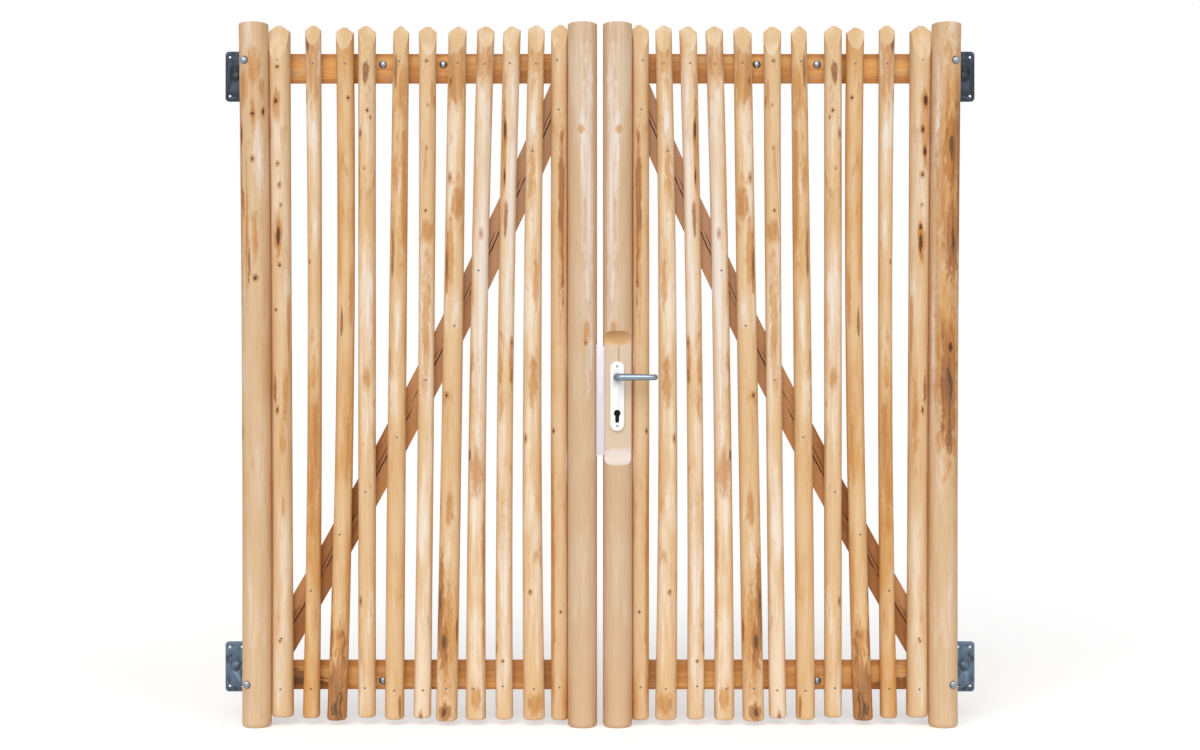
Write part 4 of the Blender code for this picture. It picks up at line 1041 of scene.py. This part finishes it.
class GATE_OT_meeting_posts(bpy.types.Operator):
    """Peels the two posts in the middle: one planed and mortised for the lock, one for its strike"""

    bl_idname = "pole_gate.meeting_posts"
    bl_label = "Meeting posts"

    def execute(self, context):
        low, high = grown("strike_plate", (FIT, 0.0, 0.003))
        seat = box_mesh("strike seat", (low.x, -PAST, low.z), (0.0, PAST, high.z))
        given = SEEDS["meeting_post"], MEETING_POST_TONE, MEETING_POST_MARKS, POST_FOOT
        dressed_pole("left_meeting_post", *given, [seat], wild=0.0)

        x, _, z = middle_of("lever_spindle")
        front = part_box("front_handle_plate")[1].y + FIT
        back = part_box("back_handle_plate")[0].y - FIT
        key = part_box("front_handle_plate")[0].z + KEY_HEIGHT
        low, high = grown("lock_case", (FIT, FIT, FIT))
        foot, head = z - FRONT_FLAT[0], z + FRONT_FLAT[1]
        back_foot, back_head = z - BACK_FLAT[0], z + BACK_FLAT[1]
        cuts = [
            flat_cutter("front flat", (0.0, -PAST, foot), (THROUGH, front, head), -1),
            flat_cutter("back flat", (0.0, back, back_foot), (THROUGH, PAST, back_head), 1),
            box_mesh("mortise", (0.0, low.y, low.z), high),
            box_mesh("keyhole", (x - KEY_HALF, -THROUGH, key - KEY_SLOT), (x + KEY_HALF, THROUGH, key)),
            rod_mesh("keyhole round", (x, -THROUGH, key), (x, THROUGH, key), HOLE_RADIUS),
            rod_mesh("spindle hole", (x, -THROUGH, z), (x, THROUGH, z), HOLE_RADIUS),
        ]
        post = dressed_pole("right_meeting_post", *given, cuts, wild=0.0)
        store(post.data, "planed", np.abs(corners_of(post.data)[:, 2] - z) < 0.3)
        return {"FINISHED"}


# ---------------------------------------------------------------- rails and braces
SCARS = {  # where each is scarred: from and to, along it, and at which edge
    "upper_rail": [(0.02, 0.10, -1)],
    "lower_rail": [(0.72, 0.86, -1)],
    "brace": [(0.18, 0.46, -1), (0.46, 0.74, 1)],
}


def dressed_slab(word, part):
    """A half-round with eased edges and a wavering outline, painted along its grain."""
    look, node, standing = wood(), f"{word}_{part}", part == "brace"
    low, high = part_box(node)
    side = 1 if (low.x + high.x) > 0 else -1
    run, wide = (2, 0) if standing else (0, 2)
    flip_run, flip_wide = (1, side) if standing else (side, 1)  # the same on both leaves
    bm = merged_copy(node)
    ease_edges(bm, look.slab_edge, 60)
    start, line = (low + high) / 2, Vector()
    start[run], line[run] = low[run], high[run] - low[run]
    steps = max(2, round(line.length / look.slab_pitch))
    for step in range(1, steps):
        slice_at(bm, start + line * step / steps, line.normalized(), 1e-7)
    mesh = mesh_of(bm, f"{node} body")
    points = corners_of(mesh)
    along = points[:, run] * flip_run
    centre, lean = (low[wide] + high[wide]) / 2, 1.0
    if standing:  # its middle line, away from its two cut ends, which would pull it aside
        levels = np.linspace(along.min(), along.max(), 80)[12:-12]
        near = [points[np.abs(along - level) < look.slab_pitch * 1.5, wide] for level in levels]
        middle = np.polyfit(levels, [(p.max() + p.min()) / 2 for p in near], 2)
        centre = np.polyval(middle, along)
        lean = 1 / np.hypot(1, np.polyval(np.polyder(middle), along))
    across = (points[:, wide] - centre) * lean * flip_wide
    depth = points[:, 1] - low.y
    rng = random.Random(SEEDS[part])
    waver = 0.5 + 0.5 * waves(rng, across * 60, along, 6, (0, 2), (9, 34))
    ends = (along < along.min() + 0.004) | (along > along.max() - 0.004)
    hollow = look.waver * waver * (depth > 0.0005) * (~ends)
    points[:, wide] -= np.sign(across) * hollow * flip_wide
    mesh.vertices.foreach_set("co", points.ravel())
    mesh.update()
    worn = np.zeros_like(along)
    for first, last, way in SCARS[part]:
        span = np.clip(1.2 - np.abs(along - (first + last) / 2) / (last - first), 0, 1)
        worn = np.maximum(worn, span * np.clip((0.014 + way * across) / 0.03, 0.2, 1))
    store(mesh, "slab", np.stack([along, across, depth], -1), "FLOAT_VECTOR")
    # painted shade: darker towards both edges of the flat
    store(mesh, "shade", np.clip(np.abs(across) / look.slab_half, 0, 1) ** 3)
    store(mesh, "worn", worn)
    store(mesh, "split", np.full(len(points), float(standing)))
    smooth(mesh, 40)
    return settle(new_piece(f"{node}_body", mesh, "half round wood"), [node])


class GATE_OT_rails(bpy.types.Operator):
    """Saws the half-round rails that the pales are nailed to"""

    bl_idname = "pole_gate.rails"
    bl_label = "Rails"

    def execute(self, context):
        for word in SIDES:
            dressed_slab(word, "upper_rail")
            dressed_slab(word, "lower_rail")
        return {"FINISHED"}


class GATE_OT_braces(bpy.types.Operator):
    """Saws the half-round braces, cracked by drying and scarred at the foot"""

    bl_idname = "pole_gate.braces"
    bl_label = "Braces"

    def execute(self, context):
        for word in SIDES:
            dressed_slab(word, "brace")
        return {"FINISHED"}


# ---------------------------------------------------------------- hinges
def refined(node, finish, edge, degrees=50, cutters=()):
    """A copy of a CAD node with its edges eased and its curves smoothed."""
    bm = merged_copy(node)
    ease_edges(bm, edge, degrees)
    piece = new_piece(f"{node}_body", mesh_of(bm, f"{node} body"), finish)
    if cutters:
        carved(piece, cutters)
    if finish == "galvanised steel":  # painted light and shade: brighter low down on the gate, darker high up
        fresh = 0.16 if "lower" in node else -0.13
        store(piece.data, "fresh", np.full(len(piece.data.vertices), fresh))
    smooth(piece.data, 30)
    return settle(piece, [node])


def ring_mesh(name, centre, major, minor, sides=48, tube=12):
    """A ring that lies across Y."""
    around = np.arange(sides)[:, None] * 2 * np.pi / sides
    within = np.arange(tube)[None] * 2 * np.pi / tube
    out = major + minor * np.cos(within)
    points = [out * np.cos(around), minor * np.sin(within) + 0 * around, out * np.sin(around)]
    points = np.stack(points, -1).reshape(-1, 3) + np.array(centre)
    index = np.arange(sides * tube).reshape(sides, tube)
    after = np.roll(index, -1, axis=0)
    faces = [index, after, np.roll(after, -1, axis=1), np.roll(index, -1, axis=1)]
    faces = np.stack(faces, -1).reshape(-1, 4)
    return mesh_of(bm_from(points.tolist(), faces.tolist()), name)


class GATE_OT_straps(bpy.types.Operator):
    """Forges the four strap hinges with their rolled eyes"""

    bl_idname = "pole_gate.straps"
    bl_label = "Straps"

    def execute(self, context):
        for word in SIDES:
            for level in LEVELS:
                refined(f"{word}_{level}_strap", "galvanised steel", iron().edge)
        return {"FINISHED"}


class GATE_OT_hooks(bpy.types.Operator):
    """Forges the four hook plates, each with a dish pressed round the root of its pin"""

    bl_idname = "pole_gate.hooks"
    bl_label = "Hook plates"

    def execute(self, context):
        look = iron()
        for word in SIDES:
            for level in LEVELS:
                node = f"{word}_{level}_hook"
                x, _, z = middle_of(node)
                at = (x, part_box(node)[0].y - look.dish_wire + look.dish_depth, z)
                dish = ring_mesh("dish", at, look.dish_radius, look.dish_wire)
                refined(node, "galvanised steel", look.edge, degrees=60, cutters=[dish])
        return {"FINISHED"}


# ---------------------------------------------------------------- fasteners
WASHER, NUT = 0.0015, 0.0063  # their thicknesses
RIM = 0.0006  # height of the straight rim under a nail's or a screw's crown
NAIL_SHANK, SHANK_SHARE = 0.02, 0.45  # its length, and its share of the head's radius
RECESS = (0.55, 0.12, 1.0)  # an arm of a screw's cross, in shares of the head's diameter
RECESS_LIFT = 0.46
BOLT_GAP = 0.0002  # under a bolt's head
BOLTS = (
    "upper_post_bolt", "upper_rail_bolt_1", "upper_rail_bolt_2", "lower_post_bolt",
    "lower_rail_bolt_1",
)
NAIL_SINK = 0.0004  # how deep a nail's head sits in the wood
NAIL_OFF, NAIL_STRAY, NAIL_TILT = 0.22, 0.006, 0.15  # across by shares, up or down, and aslant
RAIL_NAILS = {"upper": 0.009, "lower": -0.028}  # from the middle of a rail up to its nails


class Shapes(Nodes):
    """A Geometry Nodes tree that stands shapes on points. Its sizes are its inputs."""

    def __init__(self, name, *sizes):
        super().__init__(bpy.data.node_groups.new(name, "GeometryNodeTree"))
        face = self.tree.interface
        for way in ("INPUT", "OUTPUT"):
            face.new_socket("Geometry", in_out=way, socket_type="NodeSocketGeometry")
        for size in sizes:
            face.new_socket(size, in_out="INPUT", socket_type="NodeSocketFloat").subtype = "DISTANCE"
        face.new_socket("Material", in_out="INPUT", socket_type="NodeSocketMaterial")
        self.given = self.put("NodeGroupInput").outputs
        self.points = self.given["Geometry"]
        self.facing = self.named("facing", "FLOAT_VECTOR")

    def named(self, name, kind):
        """What each point carries itself."""
        return self.put("GeometryNodeInputNamedAttribute", {"data_type": kind}, Name=name).outputs[0]

    def part_of(self, name, share=0.5):
        return self.times(self.given[name], share)

    def moved(self, shape, *place, turn=0.0):
        inputs = {"Translation": self.point(*place), "Rotation": (0.0, 0.0, turn)}
        return self.put("GeometryNodeTransform", Geometry=shape, **inputs).outputs[0]

    def disc(self, radius, start, height, sides):
        """A round or hexagonal block that stands on a plane across Z, at start."""
        size = {"Radius_Top": radius, "Radius_Bottom": radius, "Depth": height}
        faces = {"Vertices": sides, "Side_Segments": 1, "Fill_Segments": 1}
        cone = self.put("GeometryNodeMeshCone", **faces, **size).outputs["Mesh"]
        return self.moved(cone, 0.0, 0.0, start)

    def dome(self, radius, height, sides, rings):
        """A flat-bottomed dome."""
        ball = self.put("GeometryNodeMeshUVSphere", Segments=sides, Rings=rings, Radius=1.0)
        x, y, z = self.parts(self.put("GeometryNodeInputPosition").outputs[0])
        up = self.times(self.math("MAXIMUM", z, 0.0), height)
        to = self.point(self.times(x, radius), self.times(y, radius), up)
        inputs = {"Geometry": ball.outputs["Mesh"], "Position": to}
        return self.put("GeometryNodeSetPosition", **inputs).outputs[0]

    def joined(self, *shapes):
        return self.put("GeometryNodeJoinGeometry", in_0=list(shapes)).outputs[0]

    def stand(self, points, shape, **scale):
        """Stands the shape on every point, its Z along the point's own direction."""
        settings = {"axis": "Z"}
        turn = self.put("FunctionNodeAlignRotationToVector", settings, Vector=self.facing).outputs[0]
        inputs = {"Points": points, "Instance": shape, "Rotation": turn, **scale}
        return self.put("GeometryNodeInstanceOnPoints", **inputs).outputs[0]

    def finished(self, shape):
        shape = self.put("GeometryNodeRealizeInstances", Geometry=shape).outputs[0]
        material = self.given["Material"]
        shape = self.put("GeometryNodeSetMaterial", Geometry=shape, Material=material).outputs[0]
        self.put("NodeGroupOutput", in_0=shape)
        return self.tree


def carriage_bolts(name):
    """Domed heads on the points, and a shank, a washer and a nut behind each, at its grip."""
    sizes = "Head Diameter", "Head Height", "Shank Diameter", "Washer Diameter", "Nut Width", "Tail"
    bolt = Shapes(name, *sizes)
    head = bolt.dome(bolt.part_of("Head Diameter"), bolt.given["Head Height"], 28, 16)
    rod = bolt.disc(bolt.part_of("Shank Diameter"), -1.0, 1.0, 16)
    washer = bolt.disc(bolt.part_of("Washer Diameter"), -WASHER, WASHER, 24)
    nut = bolt.disc(bolt.part_of("Nut Width"), -WASHER - NUT, NUT, 6)
    grip = bolt.named("grip", "FLOAT")
    back = {"in_0": bolt.facing, "Scale": bolt.times(grip, -1.0)}
    back = bolt.put("ShaderNodeVectorMath", {"operation": "SCALE"}, **back).outputs[0]
    behind = bolt.put("GeometryNodeSetPosition", Geometry=bolt.points, Offset=back).outputs[0]
    stretch = bolt.point(1.0, 1.0, bolt.plus(grip, bolt.given["Tail"]))
    shape = bolt.joined(
        bolt.stand(bolt.points, head),
        bolt.stand(bolt.points, rod, Scale=stretch),
        bolt.stand(behind, bolt.joined(washer, nut)),
    )
    return bolt.finished(shape)


def nail_heads(name):
    """Flat nail heads with a slight crown, and the start of their shanks."""
    nail = Shapes(name, "Head Diameter", "Head Height")
    radius = nail.part_of("Head Diameter")
    crown = nail.dome(radius, nail.given["Head Height"], 14, 6)
    rim = nail.disc(radius, -RIM, RIM, 14)
    shank = nail.disc(nail.times(radius, SHANK_SHARE), -NAIL_SHANK, NAIL_SHANK - RIM, 8)
    return nail.finished(nail.stand(nail.points, nail.joined(crown, rim, shank)))


def screw_heads(name):
    """Countersunk heads with a cross recess."""
    screw = Shapes(name, "Head Diameter", "Head Height")
    radius = screw.part_of("Head Diameter")
    crown = screw.dome(radius, screw.given["Head Height"], 24, 8)
    root = screw.disc(radius, -RIM, RIM, 24)
    size = screw.point(*(screw.part_of("Head Diameter", share) for share in RECESS))
    slot = screw.put("GeometryNodeMeshCube", Size=size).outputs["Mesh"]
    lift = screw.part_of("Head Diameter", RECESS_LIFT)
    arms = [screw.moved(slot, 0.0, 0.0, lift, turn=turn) for turn in (0.0, math.pi / 2)]
    settings = {"operation": "DIFFERENCE", "solver": "EXACT"}
    inputs = {"in_0": screw.joined(crown, root), "in_1": arms}
    body = screw.put("GeometryNodeMeshBoolean", settings, **inputs).outputs["Mesh"]
    return screw.finished(screw.stand(screw.points, body))


def fasteners(name, make, places, values, finish, body, grips=None, nodes=()):
    """Runs a fastener tree on its places, each a point and the way that it faces."""
    mesh = bpy.data.meshes.new(name)
    mesh.from_pydata([tuple(point) for point, _ in places], [], [])
    store(mesh, "facing", [tuple(facing) for _, facing in places], "FLOAT_VECTOR")
    if grips:
        store(mesh, "grip", grips)
    piece = new_piece(name, mesh)
    modifier = piece.modifiers.new("fasteners", "NODES")
    tree_name = make.__name__.replace("_", " ")
    tree = bpy.data.node_groups.get(tree_name) or make(tree_name)
    modifier.node_group = tree
    values["Material"] = finish_named(finish)
    for item in tree.interface.items_tree:
        if item.item_type == "SOCKET" and item.in_out == "INPUT" and item.name in values:
            modifier[item.identifier] = values[item.name]
    applied(piece)
    smooth(piece.data, 38)
    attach(piece, body)
    if nodes:
        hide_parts(*nodes)
    return piece


class GATE_OT_bolts(bpy.types.Operator):
    """Puts the carriage bolts through the posts, the rails and the straps"""

    bl_idname = "pole_gate.bolts"
    bl_label = "Bolts"

    def execute(self, context):
        look = iron()
        values = {
            "Head Diameter": look.bolt_head,
            "Head Height": look.bolt_rise,
            "Shank Diameter": look.bolt_shank,
            "Washer Diameter": look.washer,
            "Nut Width": look.nut,
            "Tail": look.bolt_tail,
        }
        for word in SIDES:
            nodes = [f"{word}_{bolt}" for bolt in BOLTS]
            places, grips = [], []
            for node in nodes:
                x, _, z = middle_of(node)
                low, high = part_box(node)
                seat = low.y + look.bolt_rise + BOLT_GAP
                places.append((Vector((x, seat, z)), FRONT))
                grips.append(high.y - look.bolt_tail - seat)
            given = places, values, "zinc fasteners", f"{word}_leaf"
            fasteners(f"{word}_bolts", carriage_bolts, *given, grips, nodes)
        return {"FINISHED"}


class GATE_OT_nails(bpy.types.Operator):
    """Nails every pale to the rails and to the brace"""

    bl_idname = "pole_gate.nails"
    bl_label = "Nails"

    def execute(self, context):
        values = {"Head Diameter": iron().nail_head, "Head Height": iron().nail_rise}
        for word, side in SIDES.items():
            rng = random.Random(SEEDS["nails"])
            places = []
            rails = [middle_of(f"{word}_{key}_rail").z + off for key, off in RAIL_NAILS.items()]
            for number in range(1, PALE_COUNT + 1):
                node = f"{word}_pale_{number:02d}"
                pole = Pole(node)
                for z in rails + self.brace_heights(word, pole):
                    share, stray, aside, up = (
                        rng.uniform(-most, most)
                        for most in (NAIL_OFF, NAIL_STRAY, NAIL_TILT, NAIL_TILT)
                    )
                    point, normal = self.on_skin(node, pole, side * share, z + stray)
                    facing = (normal + Vector((aside, 0, up))).normalized()
                    places.append((point - normal * NAIL_SINK, facing))
            given = places, values, "nail steel", f"{word}_leaf"
            fasteners(f"{word}_nails", nail_heads, *given)
        return {"FINISHED"}

    def on_skin(self, node, pole, share, z):
        """A point on the front of a pale, and the way that the skin faces there."""
        x = float(pole.middle(z)) + share * float(pole.radius(z))
        start = Vector((x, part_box(node)[0].y - 1, z))
        hit, point, normal, _ = bpy.data.objects[f"{node}_skin"].ray_cast(start, -FRONT)
        if not hit:
            raise RuntimeError(f"no skin in front of {node} at {z:.3f} m")
        return point, normal

    def brace_heights(self, word, pole):
        """The middle of where the brace passes behind a pale, if it does."""
        brace = bpy.data.objects[f"{word}_brace_body"]
        low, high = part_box(f"{word}_brace")
        behind = []
        for z in np.linspace(low.z, high.z, 90):
            start = Vector((float(pole.middle(z)), low.y - 0.5, z))
            if brace.ray_cast(start, -FRONT)[0]:
                behind.append(z)
        return [sum(behind) / len(behind)] if behind else []


# ---------------------------------------------------------------- lock
STRIKE_EDGE, WORKS_EDGE = 0.0007, 0.0005  # rounding of the strike, and of the lock and its works
SHADE_SHEET_HEIGHT = 0.038  # of the dark sheet of painted shade in the keyhole, above the foot of the handle plates
SHADE_SHEET_HALF = (0.0105, 0.0006, 0.021)  # half its size
FOREND_SCREWS = 0.012  # from the ends of the lock's forend
TAIL_BEND = 0.9  # the lever's second bend, as a share of its first
TAIL_TURN = 0.15  # the angle at which that bend stops
TAIL_END = ((0.0004, 0.002, 0.94), (0.0005, 0.0036, 0.75))  # along, back, and narrower


class GATE_OT_strike(bpy.types.Operator):
    """Folds the strike plate on the left leaf"""

    bl_idname = "pole_gate.strike"
    bl_label = "Strike plate"

    def execute(self, context):
        refined("strike_plate", "folded steel", STRIKE_EDGE)
        return {"FINISHED"}


class GATE_OT_lock_works(bpy.types.Operator):
    """Makes the lock case, its follower, its bolts and the spindle"""

    bl_idname = "pole_gate.lock_works"
    bl_label = "Lock"

    def execute(self, context):
        refined("lock_case", "plated steel", WORKS_EDGE)
        for node in ("lock_follower", "lever_spindle", "latch_bolt", "dead_bolt"):
            piece = refined(node, "bright steel", WORKS_EDGE)
        for corner in piece.data.vertices:  # thrown, the dead bolt stops short of the strike's wall
            corner.co.x = max(corner.co.x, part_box("dead_bolt")[0].x + FIT)
        # painted shade: a near-black sheet halfway through the lock that fills the empty keyhole with
        # dark
        middle, half = middle_of("front_handle_plate"), Vector(SHADE_SHEET_HALF)
        middle.y = middle_of("lock_case").y
        middle.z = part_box("front_handle_plate")[0].z + SHADE_SHEET_HEIGHT
        mesh = box_mesh("keyhole shield", middle - half, middle + half, 0)
        shade_sheet = new_piece("keyhole_shield", mesh, "dark iron")
        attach(shade_sheet, "right_leaf")
        return {"FINISHED"}


class GATE_OT_handle_plates(bpy.types.Operator):
    """Presses the two handle plates, with their keyholes"""

    bl_idname = "pole_gate.handle_plates"
    bl_label = "Handle plates"

    def execute(self, context):
        for word in FACES:
            refined(f"{word}_handle_plate", "satin plate", lock().edge)
        return {"FINISHED"}


def swept(name, points, radii, sides=28):
    """A round bar along a line, with flat ends."""
    points = [Vector(p) for p in points]
    last = len(points) - 1
    corners, normal = [], Vector((0, 0, 1))
    for i, point in enumerate(points):
        tangent = (points[min(i + 1, last)] - points[max(i - 1, 0)]).normalized()
        normal = (normal - tangent * normal.dot(tangent)).normalized()
        other = tangent.cross(normal)
        for j in range(sides):
            a = 2 * math.pi * j / sides
            corners.append(tuple(point + (normal * math.cos(a) + other * math.sin(a)) * radii[i]))
    index = np.arange(len(corners)).reshape(-1, sides)
    after = np.roll(index, -1, axis=1)
    faces = np.stack([index[:-1], after[:-1], after[1:], index[1:]], -1).reshape(-1, 4).tolist()
    faces += [index[0].tolist(), index[-1].tolist()]
    return mesh_of(bm_from(corners, faces), name)


def quarter(centre, radius, start, end, steps=10):
    """Points on an arc, given along and out."""
    angles = [start + (end - start) * i / steps for i in range(steps + 1)]
    return [(centre[0] + radius * math.cos(a), centre[1] + radius * math.sin(a)) for a in angles]


def make_lever_body(word, outward):
    """A lever: a short neck, a bend, a tapering bar and a tail turned back to the gate."""
    look = lock()
    node = f"{word}_lever"
    low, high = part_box(node)
    x, z = low.x + look.neck_radius, (low.z + high.z) / 2
    root = high.y if outward < 0 else low.y
    reach = high.y - low.y - look.bar_radius
    end = high.x - x - look.tail_radius
    bend, tail = look.bend, look.bend * TAIL_BEND
    route = [(0.0, 0.0), (0.0, 0.004), (0.0, reach - bend - 0.006)]
    route += quarter((bend, reach - bend), bend, math.pi, math.pi / 2)
    route += [(bend + (end - tail - bend) * i / 12, reach) for i in range(1, 12)]
    route += quarter((end - tail, reach - tail), tail, math.pi / 2, TAIL_TURN)
    last_along, last_out = route[-1]
    route += [(last_along + along, last_out - back) for along, back, _ in TAIL_END]
    radii = []
    for along, out in route:
        share = min(1.0, max(0.0, along / end))
        bar = look.bar_radius + (look.tail_radius - look.bar_radius) * share
        neck = max(0.0, 1 - (out / (reach - bend / 2)) ** 2) if along < bend / 2 else 0.0
        radii.append(bar + (look.neck_radius - bar) * neck)
    radii[0] = look.neck_radius
    radii[-2] *= TAIL_END[0][2]
    radii[-1] *= TAIL_END[1][2]
    points = [(x + along, root + outward * out, z) for along, out in route]
    mesh = swept(f"{node} body", points, radii)
    smooth(mesh, 60)
    return settle(new_piece(f"{node}_body", mesh, "satin aluminium"), [node])


class GATE_OT_levers(bpy.types.Operator):
    """Bends the two lever handles"""

    bl_idname = "pole_gate.levers"
    bl_label = "Levers"

    def execute(self, context):
        for word, outward in FACES.items():
            make_lever_body(word, outward)
        return {"FINISHED"}


class GATE_OT_screws(bpy.types.Operator):
    """Drives the screws of the handle plates and of the lock's forend"""

    bl_idname = "pole_gate.screws"
    bl_label = "Screws"

    def execute(self, context):
        look, places = lock(), []
        x, _, z = middle_of("lever_spindle")
        for word, way in FACES.items():
            low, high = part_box(f"{word}_handle_plate")
            face = low.y if way < 0 else high.y
            for height in (z + look.screw_above, z - look.screw_below):
                places.append((Vector((x, face, height)), Vector((0, way, 0))))
        low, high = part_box("lock_case")
        for height in (low.z + FOREND_SCREWS, high.z - FOREND_SCREWS):
            places.append((Vector((low.x, (low.y + high.y) / 2, height)), Vector((-1, 0, 0))))
        values = {"Head Diameter": look.screw_head, "Head Height": look.screw_rise}
        fasteners("lock_screws", screw_heads, places, values, "zinc fasteners", "right_leaf")
        return {"FINISHED"}


# ---------------------------------------------------------------- stage
FLOOR_LEVEL, FLOOR_GLOW = -0.0005, 0.42  # the glow shows only to the camera and in mirrors
LAMPS = (  # name, share of the key's strength, and softness, tilt and turn in degrees
    ("key", 1.0, 50, 58, -14),
    ("second", 0.35, 60, 62, 24),
)


def bare_tree(owner):
    owner.use_nodes = True
    owner.node_tree.nodes.clear()
    return Nodes(owner.node_tree)


def seen_rays(nodes, strength, otherwise=0.0):
    """A strength for what the camera sees, directly, mirrored or through glass."""
    rays = nodes.put("ShaderNodeLightPath").outputs
    seen = nodes.math("MAXIMUM", rays["Is Camera Ray"], rays["Is Glossy Ray"])
    seen = nodes.math("MAXIMUM", seen, rays["Is Transmission Ray"])
    return nodes.scaled(seen, strength - otherwise, otherwise)


class GATE_OT_stage(bpy.types.Operator):
    """Lays the floor, and sets the lamps, the sky and the camera"""

    bl_idname = "pole_gate.stage"
    bl_label = "Stage"

    def execute(self, context):
        look = context.scene.gate_stage
        self.lay_floor(look)
        self.set_sky(context, look)
        self.set_lamps(context, look)
        self.set_camera(context, look)
        context.scene.view_settings.view_transform = "Standard"
        return {"FINISHED"}

    def lay_floor(self, look):
        half, z = look.floor_size / 2, FLOOR_LEVEL
        mesh = bpy.data.meshes.new("floor")
        corners = [(-half, -half, z), (half, -half, z), (half, half, z), (-half, half, z)]
        mesh.from_pydata(corners, [], [(0, 1, 2, 3)])
        nodes = bare_tree(bpy.data.materials.new("pale floor"))
        matt = nodes.put("ShaderNodeBsdfDiffuse", Color=(*look.floor, 1.0))
        glow = nodes.put("ShaderNodeEmission", Strength=seen_rays(nodes, FLOOR_GLOW))
        both = nodes.put("ShaderNodeAddShader", in_0=matt.outputs[0], in_1=glow.outputs[0])
        nodes.put("ShaderNodeOutputMaterial", Surface=both.outputs[0])
        new_piece("floor", mesh, "pale floor")

    def set_sky(self, context, look):
        sky = bpy.data.worlds.new("white studio")
        nodes = bare_tree(sky)
        white = (1.0, 1.0, 1.0, 1.0)
        strength = seen_rays(nodes, 1.0, look.fill)
        glow = nodes.put("ShaderNodeBackground", Color=white, Strength=strength)
        nodes.put("ShaderNodeOutputWorld", Surface=glow.outputs[0])
        context.scene.world = sky

    def set_lamps(self, context, look):
        for name, share, soft, tilt, turn in LAMPS:
            lamp = bpy.data.lights.new(name, "SUN")
            lamp.energy, lamp.angle = look.key * share, math.radians(soft)
            holder = bpy.data.objects.new(name, lamp)
            holder.rotation_euler = (math.radians(tilt), 0, math.radians(turn))
            context.scene.collection.objects.link(holder)

    def set_camera(self, context, look):
        lens = bpy.data.cameras.new("camera")
        lens.sensor_width = 36.0
        lens.lens = lens.sensor_width * look.distance / look.width
        camera = bpy.data.objects.new("camera", lens)
        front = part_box("left_pale_03")[0].y
        camera.location = (0.0, front - look.distance, look.height)
        camera.rotation_euler = (math.pi / 2, 0, 0)
        context.scene.collection.objects.link(camera)
        context.scene.camera = camera


# ---------------------------------------------------------------- add-on
OPERATORS = (
    GATE_OT_hinge_posts,
    GATE_OT_meeting_posts,
    GATE_OT_pales,
    GATE_OT_rails,
    GATE_OT_braces,
    GATE_OT_straps,
    GATE_OT_hooks,
    GATE_OT_bolts,
    GATE_OT_nails,
    GATE_OT_strike,
    GATE_OT_lock_works,
    GATE_OT_handle_plates,
    GATE_OT_levers,
    GATE_OT_screws,
    GATE_OT_stage,
)


class GATE_PT_pieces(bpy.types.Panel):
    """Lists the pieces of the gate, with their sizes and colours"""

    bl_idname = "GATE_PT_pieces"
    bl_label = "Peeled Pole Gate"
    bl_space_type = "VIEW_3D"
    bl_region_type = "UI"
    bl_category = "Pole Gate"

    def draw(self, context):
        layout = self.layout
        for operator in OPERATORS:
            layout.operator(operator.bl_idname)
        for name, group in LOOKS.items():
            box = layout.box()
            box.label(text=group.__doc__)
            for key in group.__annotations__:
                box.prop(getattr(context.scene, name), key)


def register():
    for kind in (*LOOKS.values(), *OPERATORS, GATE_PT_pieces):
        bpy.utils.register_class(kind)
    for name, group in LOOKS.items():
        setattr(bpy.types.Scene, name, PointerProperty(type=group))


def unregister():
    for name in LOOKS:
        delattr(bpy.types.Scene, name)
    for kind in reversed((*LOOKS.values(), *OPERATORS, GATE_PT_pieces)):
        bpy.utils.unregister_class(kind)


def main():
    register()
    for operator in OPERATORS:
        family, name = operator.bl_idname.split(".")
        getattr(getattr(bpy.ops, family), name)()


if __name__ == "__main__":
    main()
